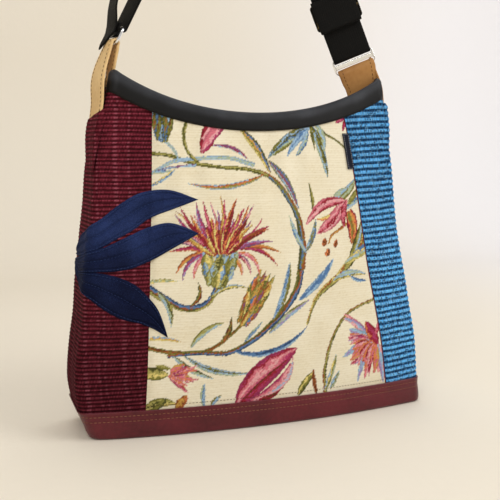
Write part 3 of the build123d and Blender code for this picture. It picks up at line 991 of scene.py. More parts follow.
    def parts(self) -> list[Blade | Stem]:
        """List the figure's shapes.

        Returns:
            The shapes in the order that they are woven.
        """
        thistle = self.fan((-48, 160), 152, 26, 34, 36, 58, 5.0,
                           ("kpn", "agk", "pPu", "kRa", "unv", "rgy"), 9)
        droop = (
            ((-38, 166), (6, 150), 0.18), ((-36, 167), (10, 162), 0.10), ((-36, 166), (2, 173), 0.06),
            ((-38, 164), (-12, 141), 0.26), ((-40, 163), (-20, 142), 0.22), ((-40, 162), (-29, 143), 0.16),
            ((-38, 168), (0, 187), 0.04), ((-58, 167), (-94, 167), -0.06), ((-58, 166), (-90, 146), -0.16),
            ((-60, 165), (-84, 140), -0.18), ((-60, 164), (-74, 141), -0.14), ((-60, 168), (-92, 176), -0.05),
            ((-58, 169), (-88, 190), -0.03),
        )
        mixes = ("kna", "rag", "unv", "pPa", "kPu", "agP", "krn")
        thistle += [Blade(*petal[:2], 6.0, petal[2], mixes[i % len(mixes)]) for i, petal in enumerate(droop)]
        thistle += self.scales((-54, 133), (-47, 172), 39, 5, ("osmo", "lsbo", "ymo", "sol", "oOm", "bly"))
        thistle += self.fan((-48, 160), 150, 30, 30, 22, 46, 4.6, ("kak", "ygr", "npk", "aky", "kRk"), 11)
        bud = self.scales((-97, 263), (-93, 298), 23, 4, ("oOb", "oroO", "bOl", "OoR"))
        bud += self.fan((-11, 124), 108, 48, 8, 12, 19, 5.0, ("kn", "nPk", "ak"), 19)
        bud += self.scales((-31, 97), (-6, 141), 25, 6, ("orgo", "uro", "ygr", "oOy", "rab", "mgo"))
        carnation = self.fan((112, 72), 140, 286, 20, 28, 47, 11.0,
                             ("pPa", "vlP", "lvl", "apP", "Pkp", "nPv"), 13)
        carnation += self.fan((112, 70), 176, 268, 13, 16, 36, 8.0, ("apg", "kpP", "Ppa", "apk"), 15)
        carnation += [Blade((114, 66), (101, 90), 16, 0.0, "knka"), Blade((112, 76), (118, 90), 8, 0.0, "kp")]
        small = self.fan((-104, 58), -42, 22, 15, 20, 36, 6.0, ("pPa", "npk", "apg", "Pap"), 17)
        seeds = [Blade((x - 2, z - 4), (x + 1, z + 4), 7.5, 0.0, "rRa")
                 for x, z in ((56, 170), (69, 168), (59, 160))]
        return [*self.stems, *self.blades, *bud, *thistle, *carnation, *small, *seeds]

    def weave(self, x: Array, z: Array) -> Array:
        """Colour places on the panel.

        Args:
            x: Places across, in millimetres.
            z: Heights, in millimetres.

        Returns:
            A colour for each place.
        """
        cell = hashed(np.floor(x / 1.1), np.floor(z / 0.95))
        fleck = hashed(np.floor(x / 2.6), np.floor(z / 0.95), 2.0)
        jx = x + 0.8 * (hashed(np.floor(x / 1.3), np.floor(z / 1.1), 4.0) - 0.5)
        jz = z + 0.6 * (hashed(np.floor(x / 1.3), np.floor(z / 1.1), 6.0) - 0.5)
        weft = ease(0.3, 1.0, np.sin(math.tau * (z / 2.3 + 0.1 * drift(x / 30, z / 8, 7.0))) * 0.5 + 0.5)
        cloud = 0.5 + 0.5 * drift(x / 24, z / 15, 5.0)
        shade = 0.42 * weft * (0.55 + 0.45 * fleck) + 0.32 * cloud + 0.2 * (cell > 0.9) + 0.14 * (cell - 0.5)
        cream, straw = np.array(self.yarns["c"]), np.array(self.yarns["C"])
        colour = cream + (straw - cream) * np.clip(shade, 0, 1.2)[:, None]
        for i, part in enumerate(self.parts()):
            inside, across, along = part.cover(jx, jz)
            if not inside.any():
                continue
            dyes = np.array([self.yarns[key] for key in part.dyes])
            streak = drift(along * 9 + i, across * 2.2 + i * 3.0, i)
            pick = (across * 0.5 + 0.5) * len(dyes) + 0.9 * streak + 0.8 * (cell - 0.5)
            chosen = dyes[np.clip(np.floor(pick), 0, len(dyes) - 1).astype(int)]
            edge = (np.abs(across) > 0.74)[:, None] * (0.14 + 0.24 * cell)[:, None]
            chosen = chosen * (1 - edge) * (0.84 + 0.28 * fleck)[:, None]
            colour = np.where(inside[:, None], chosen, colour)
        return colour


class ClothKind(Enum):
    """The cloths that the bag is pieced from."""

    TAPESTRY = "tapestry"
    RIBBED = "burgundy_cloth"
    LOOPED = "blue_cloth"


@dataclass
class Yarns:
    """The raised yarns of each cloth: how far they stand out and what colour they are."""

    rib: float = 0.0036
    rib_rise: float = 0.00042
    loop_row: float = 0.00565
    loop_length: float = 0.0088
    loop_rise: float = 0.0006
    loop_tilt: float = 0.06

    def raised(self, kind: ClothKind, u: Array, v: Array) -> tuple[Array, Array]:
        """Give heights and colours of a cloth with raised yarns."""
        return self.ribbed(u, v) if kind is ClothKind.RIBBED else self.looped(u, v)

    def ribbed(self, u: Array, v: Array) -> tuple[Array, Array]:
        """Weave the ribbed burgundy cloth, painted darker towards its foot as painted shade.

        Args:
            u: Distances round the bag.
            v: Heights above the floor.

        Returns:
            How far the yarns stand out, and their colours.
        """
        row = v / self.rib + 0.12 * drift(u / 0.02, v / 0.02, 31.0)
        level = np.floor(row + 0.5)
        line = ease(0.62, 0.98, np.abs(np.cos(math.pi * row)))
        dots = 0.5 + 0.5 * np.sin(math.tau * u / 0.0026 + math.pi * level)
        fleck = hashed(np.floor(u / 0.0013), level, 35.0)
        thread = np.floor(u / 0.0018)
        slub = (hashed(thread, thread * 0, 33.0) > 0.88) * (hashed(level, thread, 37.0) > 0.2)
        tone_drift_and_painted_shade = 0.5 + 0.5 * drift(u / 0.05, v / 0.06, 39.0)
        dark, mid, light = (np.array(tone(*c)) for c in ((50, 15, 19), (128, 40, 56), (200, 110, 128)))
        share = 0.06 + 0.12 * tone_drift_and_painted_shade + 0.86 * line * (0.4 + 0.6 * dots) + 0.26 * (fleck - 0.5)
        colour = dark + (mid - dark) * np.clip(share, 0, 1.2)[..., None]
        colour = colour + (light - colour) * (line * (0.22 * fleck * dots + 0.32 * slub))[..., None]
        # painted shade: the burgundy is painted darker towards the foot
        colour = colour * (0.66 + 0.34 * ease(0.02, 0.24, v))[..., None]
        return self.rib_rise * line * (0.8 + 0.4 * dots), np.clip(colour, 0, 1)

    def looped(self, u: Array, v: Array) -> tuple[Array, Array]:
        """Weave the looped blue cloth, painted brighter low down and darker towards the top as painted light.

        Args:
            u: Distances round the bag.
            v: Heights above the floor.

        Returns:
            How far the yarns stand out, and their colours.
        """
        row = (v - self.loop_tilt * u) / self.loop_row + 0.06 * drift(u / 0.016, v / 0.02, 41.0)
        level = np.floor(row)
        inside = row - level
        cell = u / self.loop_length + hashed(level, level * 2 + 1, 43.0) + 0.3 * drift(u / 0.013, level, 45.0)
        dash = cell - np.floor(cell)
        kind = hashed(np.floor(cell), level, 47.0)
        split = ease(0.46, 0.5, dash) * ease(0.56, 0.52, dash) * (kind > 0.4)
        nick = 1 - ease(0.0, 0.09, dash) * ease(1.0, 0.90, dash) * (1 - 0.7 * split)
        band = ease(0.02, 0.16, inside) * ease(0.68, 0.50, inside)
        bright = band * (1 - 0.55 * nick)
        step = np.floor(v / 0.0014)
        speck = hashed(np.floor(u / 0.0017 + 0.5 * np.mod(step, 2)), step, 49.0)
        twist = 0.5 + 0.5 * np.sin(math.tau * (u / 0.0029 + 0.8 * row))
        dark, sky, pale = (np.array(tone(*c)) for c in ((16, 24, 50), (84, 170, 234), (178, 228, 252)))
        dots = ease(-0.5, 0.7, np.sin(math.tau * (u / 0.0032 + 0.5 * level)))
        share = bright * (0.84 + 0.34 * kind - 0.34 * speck)
        share = share + (1 - band) * 0.36 * dots * (0.25 + 0.75 * speck)
        share = share * (1 - 0.8 * band * (speck < 0.15))
        colour = dark + (sky - dark) * np.clip(share, 0, 1.15)[..., None]
        colour = colour + (pale - colour) * (0.5 * bright * twist * (0.2 + 0.8 * speck))[..., None]
        colour = colour + (pale - colour) * (0.16 * (1 - band) * (speck > 0.9))[..., None]
        # painted light: the blue is painted brighter low down and darker towards the top; the last three
        # numbers tint it bluer
        colour = colour * (1.22 - 0.24 * ease(0.14, 0.29, v))[..., None] * np.array([0.97, 1.03, 1.1])
        return self.loop_rise * (0.5 * band + 0.6 * bright + 0.25 * twist * bright), np.clip(colour, 0, 1)


@dataclass(frozen=True)
class Lip:
    """The turned edge of cloth that covers the foot of one tab."""

    side: Side
    kind: ClothKind
    high: float
    slant: float = 0.0
    stand: float = 0.0


@dataclass
class Panels:
    """The pieced cloth walls, their lips over the tabs and the lining inside."""

    form: BagForm
    yarns: Yarns
    lap: float = 0.006
    pinch: float = 0.0013
    pinch_reach: float = 0.0035
    piping: float = 0.0013
    piping_tone: Colour = tone(104, 30, 38)
    topstitch_rise: float = 0.0034
    lip_low: float = 0.238
    lip_reach: float = 0.0225
    lip_swell: float = 0.0036
    lip_hinge: float = 0.0105
    lips: tuple[Lip, ...] = (
        Lip(Side.LEFT, ClothKind.RIBBED, 0.2885, 0.19, 0.105),
        Lip(Side.RIGHT, ClothKind.LOOPED, 0.3025),
    )
    lining_floor: float = 0.0062
    lining_drop: float = 0.011

    def stitch(self, name: str, node: str, kind: ClothKind, edges: tuple[Callable, Callable],
               steps: Pair, finish: Material) -> None:
        """Make one panel between two seams.

        Args:
            name: The panel's name.
            node: The solid that it stands for.
            kind: Its cloth.
            edges: Distances round to its two seams, as functions of height.
            steps: The spacing of its points round and up.
            finish: Its material.
        """
        form = self.form
        first, last = edges
        z_rows = np.arange(form.base_height - self.lap, form.height + steps[1], steps[1])
        start, stop = first(z_rows), last(z_rows)
        count = int(np.max(np.abs(stop - start)) / steps[0]) + 2
        share = np.linspace(0, 1, count)[None, :]
        z, p, top = form.trim(z_rows, count, lambda level: first(level) * (1 - share) + last(level) * share,
                              form.band_height - form.band_tuck)
        point, _ = form.place(z, p)
        width = np.abs(last(z) - first(z))
        near = np.minimum(share, 1 - share) * width
        out = form.slack(p, z, point) - self.pinch * np.exp(-((near / self.pinch_reach) ** 2))
        if kind is ClothKind.TAPESTRY:
            dye = Figure().weave(point[..., 0].ravel() * IN_MM, z.ravel() * IN_MM)
            # painted shade: the tapestry is painted a little darker towards the foot
            dye = dye * (0.97 + 0.03 * ease(0.03, 0.2, z)).reshape(-1, 1)
            piping = ((1 - share) * width < self.piping).reshape(-1, 1)
            dye = np.where(piping, np.array(self.piping_tone), dye)
        else:
            rise, dye = self.yarns.raised(kind, p, z)
            out = out + rise
            dye = dye.reshape(-1, 3)
        point, _ = form.place(z, p, out)
        faces = grid_faces(*z.shape)
        tall = np.ptp(z.ravel()[faces], axis=1) > 0.05 * steps[1]
        if start[0] > stop[0]:
            faces = faces[:, ::-1]
        obj = make_object(name, point, faces[tall], finish, paired(p, z), dye)
        attach(obj, kind.value, node)

    def turn_over(self, lip: Lip, finish: Material) -> None:
        """Make one lip.

        Args:
            lip: How it is cut.
            finish: Its material.
        """
        low, reach = self.lip_low, self.lip_reach
        rows, y = np.meshgrid(np.linspace(0, 1, 64), np.linspace(-reach, reach, 64), indexing="ij")
        top = lip.high - lip.slant * y
        z = low + (top - low) * rows
        p = lip.side.value * (self.form.half_girth(z) / 2 + y)
        swell = ease(reach, reach - 0.006, np.abs(y)) * ease(low, 0.283, z)
        rise, dye = self.yarns.raised(lip.kind, p, z)
        out = 0.0004 + (self.lip_swell + lip.stand * (self.lip_hinge + y)) * swell + rise
        edge = ease(0.0016, 0.0, top - z)
        point, _ = self.form.place(z, p, out - 0.0012 * edge * swell)
        faces = grid_faces(*z.shape)
        if lip.side is Side.LEFT:
            faces = faces[:, ::-1]
        name = lip.side.name.lower()
        obj = make_object(f"{name}_lip", point, faces, finish, paired(p, z), dye.reshape(-1, 3))
        attach(obj, lip.kind.value)

    def lining(self, finish: Material) -> None:
        """Make the plain pouch inside, with its floor on the board.

        Args:
            finish: Its material.
        """
        form, floor = self.form, self.lining_floor
        rings, rows, count = 9, 90, 260
        z_rows = np.concatenate([[floor] * rings, np.linspace(floor + MM, form.height, rows)])
        inset = np.concatenate([np.linspace(1.0, 0.0, rings), np.zeros(rows)])
        share = np.linspace(-1, 1, count, endpoint=False)[None, :]
        z, p, _ = form.trim(z_rows, count, lambda level: form.half_girth(level) * share, self.lining_drop,
                            -form.wall)
        gather = 0.0006 * drift(p / 0.018, z / 0.06, 61.0) * ease(floor, floor + 0.03, z)
        point, _ = form.place(z, p, -form.wall - 0.0004 + gather)
        point[..., :2] *= 1 - 0.985 * inset[:, None, None]
        faces = grid_faces(*z.shape, around=True)[:, ::-1]
        tall = np.ptp(z.ravel()[faces], axis=1) + np.repeat(inset[:-1], count) > 1e-5
        obj = make_object("lining_pouch", point, faces[tall], finish, paired(p, z))
        attach(obj, "lining_cloth", "lining")

    def build(self, finishes: dict[str, Material]) -> None:
        """Make all the cloth of the body.

        Args:
            finishes: Every finish by its name.
        """
        form = self.form
        left, right = form.seam(*form.left_seam), form.seam(*form.right_seam)
        back_left, back_right = (form.seam(share, share) for share in (-form.back_seam, form.back_seam))
        front_left: Callable = lambda z: form.front(z, left(z))
        front_right: Callable = lambda z: form.front(z, right(z))
        behind_left: Callable = lambda z: form.back(z, back_left(z))
        behind_right: Callable = lambda z: form.back(z, back_right(z))
        full_left: Callable = lambda z: 2 * form.half_girth(z) + behind_left(z)
        panels = (
            ("tapestry_front", "tapestry_panel", ClothKind.TAPESTRY, (front_left, front_right),
             (0.00092, 0.00092)),
            ("burgundy_side", "burgundy_panel", ClothKind.RIBBED, (behind_left, front_left),
             (0.0013, 0.00065)),
            ("blue_side", "blue_panel", ClothKind.LOOPED, (front_right, behind_right), (0.0009, 0.00074)),
            ("burgundy_back", "back_panel", ClothKind.RIBBED, (behind_right, full_left), (0.0026, 0.00085)),
        )
        for name, node, kind, edges, steps in panels:
            self.stitch(name, node, kind, edges, steps, finishes[kind.value])
        level = np.full(900, form.base_height + self.topstitch_rise)
        around = np.linspace(float(front_left(level[0])), float(front_right(level[0])), 900)
        path, out = form.place(level, around, 0.0003)
        Stitching(0.0021, 0.0011, 0.00022).sew("tapestry_topstitch", path, out, finishes["dark_thread"])
        for lip in self.lips:
            self.turn_over(lip, finishes[lip.kind.value])
        self.lining(finishes["lining"])


@dataclass
class Stitching:
    """Rows of separate stitches laid on a surface."""

    length: float = 0.0027
    gap: float = 0.0011
    radius: float = 0.00028
    segments: int = 6
    rings: int = 5

    def row(self, name: str, path: Array, normal: Array, finish: Material) -> Piece:
        """Sew one row.

        Args:
            name: The row's name.
            path: Points along the row.
            normal: Outward normals there.
            finish: The thread.

        Returns:
            The row, all its stitches in one mesh.
        """
        run = run_of(path)
        middles = np.arange(self.length / 2, run[-1] - self.length / 2, self.length + self.gap)
        at: Callable = lambda table, s: np.stack([np.interp(s, run, table[:, k]) for k in range(3)], axis=1)
        centre, out = at(path, middles), unit(at(normal, middles))
        ahead = unit(at(path, middles + 0.0004) - at(path, middles - 0.0004))
        side = np.cross(ahead, out)
        t = np.linspace(-1, 1, self.rings)
        a = np.linspace(0, math.tau, self.segments, endpoint=False)
        bulge = np.sqrt(np.clip(1 - 0.96 * t ** 4, 0, 1))
        lx = np.repeat(t * self.length / 2, self.segments)
        ly = np.outer(bulge, np.cos(a)).ravel() * self.radius
        lz = np.outer(bulge, np.sin(a)).ravel() * self.radius
        point = (centre[:, None] + ahead[:, None] * lx[:, None] + side[:, None] * ly[:, None]
                 + out[:, None] * (lz - 0.35 * self.radius * t.repeat(self.segments) ** 2)[:, None])
        one = grid_faces(self.rings, self.segments, around=True)
        first = np.arange(len(centre)) * self.rings * self.segments
        faces = (one[None] + first[:, None, None]).reshape(-1, 4)
        return make_object(name, point, faces, finish)

    def sew(self, name: str, path: Array, normal: Array, finish: Material) -> None:
        """Sew one row that rides on the bag."""
        attach(self.row(name, path, normal, finish), None)


@dataclass
class LeatherBase:
    """The leather tray with two rows of topstitching."""

    form: BagForm
    gauge: float = 0.0021
    edge: float = 0.0034
    rows: tuple[float, ...] = (0.0218, 0.0168)
    drawn: float = 0.0048
    bead: float = 0.0009
    groove: float = 0.00035
    columns: int = 640

    def wave(self, p: Array, z: Array) -> Array:
        """Give how far the soft leather stands out or in."""
        free = ease(0.002, 0.01, z) * ease(self.form.base_height, self.form.base_height - 0.008, z)
        return 0.0009 * drift(p / 0.034 + z / 0.03, z / 0.018, 71.0) * free

    def draw_in(self, point: Array) -> None:
        """Pull the foot of the left end inward, where the leather is drawn under.

        Args:
            point: Points on the tray, which are moved.
        """
        half = self.form.half_width(point[..., 2])
        end = ease(0.84, 0.98, (self.form.middle(point[..., 2]) - point[..., 0]) / half)
        point[..., 0] += self.drawn * end * np.clip(1 - point[..., 2] / self.form.base_height, 0, 1) ** 0.8

    def build(self, leather: Material, thread: Material) -> None:
        """Make the tray and sew it.

        Args:
            leather: The tray's material.
            thread: Its stitching's material.
        """
        form, top = self.form, self.form.base_height
        floor_rows, wall_rows = 14, 16
        bend = np.linspace(0, math.pi / 2, 7)
        lip = np.linspace(0, math.pi, 7)
        z_rows = np.concatenate([
            np.zeros(floor_rows), self.edge * (1 - np.cos(bend)),
            np.linspace(self.edge + MM, top - MM, wall_rows),
            top - self.bead + self.bead * np.sin(lip), [top - 0.004],
        ])
        outs = np.concatenate([
            np.full(floor_rows, -self.edge), -self.edge * (1 - np.sin(bend)), np.zeros(wall_rows),
            -self.bead * (1 - np.cos(lip)), [-2 * self.bead],
        ]) + self.gauge
        shrink = np.concatenate([np.linspace(0.0, 1.0, floor_rows), np.ones(len(z_rows) - floor_rows)])
        share = np.linspace(-1, 1, self.columns, endpoint=False)[None, :]
        z = np.repeat(z_rows[:, None], self.columns, axis=1)
        p = form.half_girth(z) * share
        groove = sum(np.exp(-(((z - row) / 0.0011) ** 2)) for row in self.rows) * -self.groove
        point, _ = form.place(z, p, outs[:, None] + self.wave(p, z) + groove)
        self.draw_in(point)
        point[..., :2] *= np.maximum(shrink, 0.004)[:, None, None]
        obj = make_object("base_tray", point, grid_faces(*z.shape, around=True), leather, paired(p, z))
        attach(obj, "base_leather", "leather_base")
        for i, row in enumerate(self.rows):
            level = np.full(1400, row)
            around = np.linspace(-1, 1, 1400) * form.half_girth(level)
            path, out = form.place(level, around, self.gauge - 0.0001 + self.wave(around, level))
            self.draw_in(path)
            Stitching().sew(f"base_stitches_{i + 1}", path, out, thread)


@dataclass
class RimBand:
    """The black binding folded over the rim, in a front and a back length."""

    form: BagForm
    proud: float = 0.0021
    inside: float = 0.0056
    end_gap: float = 0.0006
    puff: float = 0.0008
    shoulder: float = 0.24
    level: float = 0.318
    stations: int = 190

    def section(self) -> tuple[float, Array, Array]:
        """Draw the folded section.

        Returns:
            The middle of its thickness, and how far its points lie below the rim, as shares of its height,
            and out from the cloth.
        """
        half_turn = np.linspace(0, math.pi, 13)[1:-1]
        middle, radius = (self.proud - self.inside) / 2, (self.proud + self.inside) / 2
        bulge = self.puff * np.array([0.0, 0.5, 0.85, 1.0, 1.0, 0.95, 0.9])
        side = np.linspace(1.0, self.shoulder, 7)
        drop = np.concatenate([[1.0], side, self.shoulder * (1 - np.sin(half_turn)), side[::-1], [1.0]])
        out = np.concatenate([
            [self.proud - 0.0022], self.proud - self.puff + bulge, middle + radius * np.cos(half_turn),
            self.puff - self.inside - bulge[::-1], [0.0018 - self.inside],
        ])
        return middle, drop, out

    def build(self, cloth: Material) -> None:
        """Make both lengths.

        Args:
            cloth: Their material.
        """
        form = self.form
        middle, drop, out = self.section()
        count = len(drop)
        caps = cap_faces(count)
        caps = np.concatenate([caps[:, ::-1], caps + (self.stations - 1) * count])
        z = np.full(self.stations, self.level)
        sizes = form.outline(z)
        p = np.linspace(-1, 1, self.stations) * (sizes.arc + sizes.turn - self.end_gap)
        pucker = 1 + 0.06 * drift(p / 0.014, p * 0, 81.0) + 0.12 * drift(p / 0.05, p * 0, 83.0)
        outs = middle + (out - middle) * pucker[:, None]
        ps = np.repeat(p[:, None], count, axis=1)
        uv = paired(ps, np.tile(run_of(np.stack([drop * form.band_height, out], axis=1)), self.stations))
        for name, behind in (("front", False), ("back", True)):
            spot = form.place(z, p)[0] * (1, -1 if behind else 1, 1)
            zs = np.stack([form.rim(spot, form.band_height * share) for share in drop], axis=1)
            there = form.outline(zs)
            scale = (there.arc + there.turn) / (sizes.arc + sizes.turn)[:, None]
            point, _ = form.place(zs, ps * scale, outs)
            if behind:
                point[..., 1] *= -1
            faces = np.concatenate([grid_faces(self.stations, count), caps])
            faces = faces if behind else faces[:, ::-1]
            obj = make_object(f"rim_band_{name}", point, faces, cloth, uv)
            attach(obj, "band_cloth", f"{name}_band")


@dataclass
class Leaf:
    """One applique leaf: its two edges from root to tip, as millimetres round and up the bag."""

    name: str
    top: Pairs
    low: Pairs
    lift: float


@dataclass
class Leaves:
    """Padded navy leaves sewn over the left seam, with stitched veins."""

    form: BagForm
    rise: float = 0.0019
    seam_rise: float = 0.0011
    seam_half: float = 0.0014
    along: int = 110
    across: int = 40
    leaves: tuple[Leaf, ...] = (
        Leaf("upper",
             ((-212, 163), (-191, 178), (-146, 195.5), (-127.5, 209), (-110, 218.5), (-84.5, 221.5),
              (-57.5, 212.5)),
             ((-212, 160), (-189, 161), (-147, 170.5), (-132, 178.5), (-116, 187), (-102, 196.5),
              (-80.5, 204.5), (-57.5, 212.5)), 0.0004),
        Leaf("middle",
             ((-212, 157), (-189, 161), (-139, 173.5), (-120, 182), (-101.5, 189.5), (-85, 192.5),
              (-71, 188.5), (-59, 182.5)),
             ((-212, 153), (-190, 147.5), (-153.5, 150.5), (-133.5, 151), (-121.5, 153), (-104.5, 159),
              (-82.5, 170), (-59, 182.5)), 0.0009),
        Leaf("lower",
             ((-212, 151), (-190, 147.5), (-153, 150.5), (-130, 145), (-117.5, 138.5), (-107.5, 128),
              (-100, 117.5), (-94.5, 103), (-91, 90.5)),
             ((-212, 147), (-189, 137), (-160.5, 128.5), (-148, 118.5), (-133.5, 109.5), (-114.5, 104),
              (-106.5, 100.5), (-91, 90.5)), 0.0005),
    )

    @staticmethod
    def edge(points: Sequence[Pair], share: Array) -> Array:
        """Draw a smooth edge.

        Args:
            points: Places along it, in millimetres.
            share: How far along it to read, from 0 to 1.

        Returns:
            Places in metres.
        """
        knots = np.array(points) * MM
        run = run_of(knots)
        return np.stack([through(run, knots[:, k], share * run[-1]) for k in range(2)], axis=-1)

    def build(self, cloth: Material, thread: Material) -> None:
        """Make and sew the leaves.

        Args:
            cloth: Their material.
            thread: Their stitching's material.
        """
        seam = self.form.seam(*self.form.left_seam)
        for leaf in self.leaves:
            t = np.linspace(0, 1, self.along)
            w = np.linspace(-1, 1, self.across)
            high, low = self.edge(leaf.top, t), self.edge(leaf.low, t)
            span = np.linalg.norm(high - low, axis=1)
            place = low[:, None] + (high - low)[:, None] * ((w + 1) / 2)[None, :, None]
            rim = (1 - np.abs(w))[None, :] * span[:, None] / 2
            vein = np.abs(w)[None, :] * span[:, None] / 2
            quilt = ease(-0.0002, 0.0022, rim) * (1 - 0.8 * np.exp(-((vein / 0.0015) ** 2)))
            quilt = quilt * (1 - 0.6 * np.exp(-(((rim - 0.0028) / 0.0009) ** 2)))
            p, z = place[..., 0], place[..., 1]
            spot, _ = self.form.place(z, p)
            ridge = np.exp(-(((p - self.form.front(z, seam(z))) / self.seam_half) ** 2))
            out = leaf.lift + self.rise * quilt + self.form.slack(p, z, spot) + self.seam_rise * ridge
            point, normal = self.form.place(z, p, out)
            faces = grid_faces(self.along, self.across)[:, ::-1]
            obj = make_object(f"leaf_{leaf.name}_cloth", point, faces, cloth, place.reshape(-1, 2))
            attach(obj, "leaf_cloth", f"leaf_{leaf.name}")
            rows = {"vein": self.across // 2, "edge_low": 3, "edge_high": self.across - 4}
            for word, column in rows.items():
                path, out = point[8:-3, column], normal[8:-3, column]
                Stitching(0.0022, 0.0009, 0.00026).sew(
                    f"leaf_{leaf.name}_{word}", path + out * 0.00005, out, thread)


@dataclass
class PlateFrame:
    """Where a strap plate lies: its middle, the way along its bars, up it and out of its face."""

    middle: Array
    along: Array
    up: Array
    out: Array

    def at(self, up: float | Array, out: float | Array) -> Array:
        """Give a point up and out from the plate's middle."""
        return self.middle + np.multiply.outer(up, self.up) + np.multiply.outer(out, self.out)


@dataclass(frozen=True)
class Hang:
    """How a plate hangs: how high over the rim and how far in from the end, its lean and its turn."""

    rise: float
    inward: float
    lean: float
    turn: float


@dataclass(frozen=True)
class TabCut:
    """How a tab is cut and folded.

    The turns are in degrees at its foot, halfway and at its neck, and the stands are how far the outer leg
    lies off the wall there. The inner leg's rows, from the top down, give the distance off the wall, or below
    the plate where it hangs straight, and a share of the width.
    """

    fold: float
    fold_up: float
    foot: float
    below: float
    above: float
    turns: Triple
    stands: Triple
    on_wall: bool
    inner: Pairs


@dataclass
class Straps:
    """The leather tabs, the webbing and the metal they pass through."""

    form: BagForm
    left_hang: Hang = Hang(0.031, 0.0045, 27.0, 9.0)
    right_hang: Hang = Hang(0.018, 0.0205, 23.5, 25.0)
    left_cut: TabCut = TabCut(0.0030, -0.0074, 0.279, 1.0, 0.52, (6.0, 6.5, 8.0), (0.0020, 0.0046, 0.0086),
                              True, ((-0.0022, 0.58), (-0.0086, 0.52), (-0.0086, 0.52)))
    right_cut: TabCut = TabCut(0.0044, -0.0088, 0.289, 0.75, 1.0, (0.0, 0.0, 0.0), (0.0015, 0.002, 0.0025),
                               False, ((0.014, 0.9), (0.0278, 0.64), (0.0389, 0.5)))
    tab_width: float = 0.037
    tab_gauge: float = 0.002
    tab_neck: float = 0.008
    tab_margin: float = 0.0042
    tab_crown: float = 0.25
    web_width: float = 0.038
    web: float = 0.0016
    ply_gap: float = 0.0003
    loop: float = 0.0032
    loop_up: float = 0.0074
    stub: float = 0.003
    apex_radius: float = 0.034
    run: float = 0.112
    slack_length: float = 0.082
    slack: float = 0.016
    sewn: float = 0.026
    foot_up: Pair = (-0.0035, 0.0055)
    foot_out: Pair = (0.0054, 0.0056)
    foot_along: Pair = (0.0052, 0.0025)
    foot_share: float = 0.62
    foot_slant: float = 0.0095
    bulges: Pairs = ((0.2, 0.95), (0.45, 1.16), (0.75, 0.64))
    bulge_roll: float = 8.0
    slider_up: float = 0.0514
    tail: float = 0.022
    sleeve_width: float = 0.0415

    def plate(self, side: Side, hang: Hang) -> PlateFrame:
        """Find where a plate lies.

        Args:
            side: The bag's end that it hangs over.
            hang: How it hangs.

        Returns:
            The plate's frame.
        """
        top = np.array(self.form.height)
        lean, turn = math.radians(hang.lean), math.radians(hang.turn)
        x = float(self.form.middle(top)) + side.value * (float(self.form.half_width(top)) - hang.inward)
        level = np.array([side.value * math.cos(lean), 0, math.sin(lean)])
        up = np.array([-side.value * math.sin(lean), 0, math.cos(lean)])
        forward = FRONT * math.cos(turn) - level * math.sin(turn)
        outward = level * math.cos(turn) + FRONT * math.sin(turn)
        along, out = (forward, outward) if side is Side.LEFT else (outward, forward)
        return PlateFrame(np.array([x, 0, self.form.height + hang.rise]), along, up, out)

    @staticmethod
    def smooth(points: Sequence[Array], count: int) -> Array:
        """Run a smooth line through rows that start with points.

        Args:
            points: The rows.
            count: How many rows to give back.

        Returns:
            Rows spaced evenly along the line.
        """
        p = np.asarray(points, float)
        s = run_of(p[:, :3])
        at = np.linspace(0, s[-1], count)
        return np.stack([through(s, p[:, k], at) for k in range(p.shape[1])], axis=1)

    @staticmethod
    def squared(centre: Array, across: Array) -> tuple[Array, Array, Array]:
        """Square up the ways ahead, across and out along a strip.

        Args:
            centre: Points along its middle.
            across: The way across it, at each point or for all.

        Returns:
            The three ways at each point.
        """
        ahead = unit(np.gradient(centre, axis=0))
        across = unit(across - ahead * np.sum(across * ahead, axis=1, keepdims=True))
        return ahead, across, np.cross(ahead, across)

    @classmethod
    def strip(cls, name: str, centre: Array, across: Array, width: Array | float, gauge: float,
              finish: Material, crown: float = 0.0, slant: float = 0.0) -> Piece:
        """Make a flat strip with rounded edges.

        Args:
            name: The strip's name.
            centre: Points along its middle.
            across: The way across it, at each point or for all.
            width: Its width, at each point or for all.
            gauge: Its thickness.
            finish: Its material.
            crown: How far its middle is fuller than its edges.
            slant: How much further its first end hangs at one edge than at the other.

        Returns:
            The strip.
        """
        width = np.broadcast_to(width, len(centre))[:, None]
        ahead, across, out = cls.squared(centre, across)
        flat = np.linspace(-1, 1, 13)
        turn = np.linspace(-math.pi / 2, math.pi / 2, 6)[1:-1]
        half = gauge / 2
        side = np.concatenate([flat, np.ones(len(turn)), flat[::-1], -np.ones(len(turn))])
        swell = np.concatenate([np.zeros(len(flat)), np.cos(turn)] * 2)
        lift = np.concatenate([-1 - crown * (1 - flat ** 2), np.sin(turn), 1 + crown * (1 - flat[::-1] ** 2),
                               -np.sin(turn)]) * half
        reach = side * (width / 2 - half) + np.sign(side) * swell * half
        point = centre[:, None] + across[:, None] * reach[..., None] + out[:, None] * lift[None, :, None]
        drop = slant * (0.5 - reach / width) * (1 - ease(0, 12, np.arange(len(centre))))[:, None]
        point = point - ahead[:, None] * drop[..., None]
        rows, columns = reach.shape
        last = (rows - 1) * columns
        caps = [list(range(columns))[::-1], list(range(last, last + columns))]
        uv = paired(reach, np.repeat(run_of(centre), columns))
        return make_object(name, point, grid_faces(rows, columns, around=True), finish, uv, caps=caps)

    def wall_row(self, side: Side, z: float, turn: float, out: float, width: float) -> Array:
        """Give a row of a tab that follows an end wall.

        Args:
            side: The bag's end.
            z: The row's height.
            turn: How far it is turned.
            out: How far it stands off the wall.
            width: Its width.

        Returns:
            Its middle, the way across it and its width, one after the other.
        """
        level = np.array(z)
        x = float(self.form.middle(level)) + side.value * (float(self.form.half_width(level)) + out)
        return np.array([x, 0, z, math.sin(turn), -math.cos(turn), 0, width])

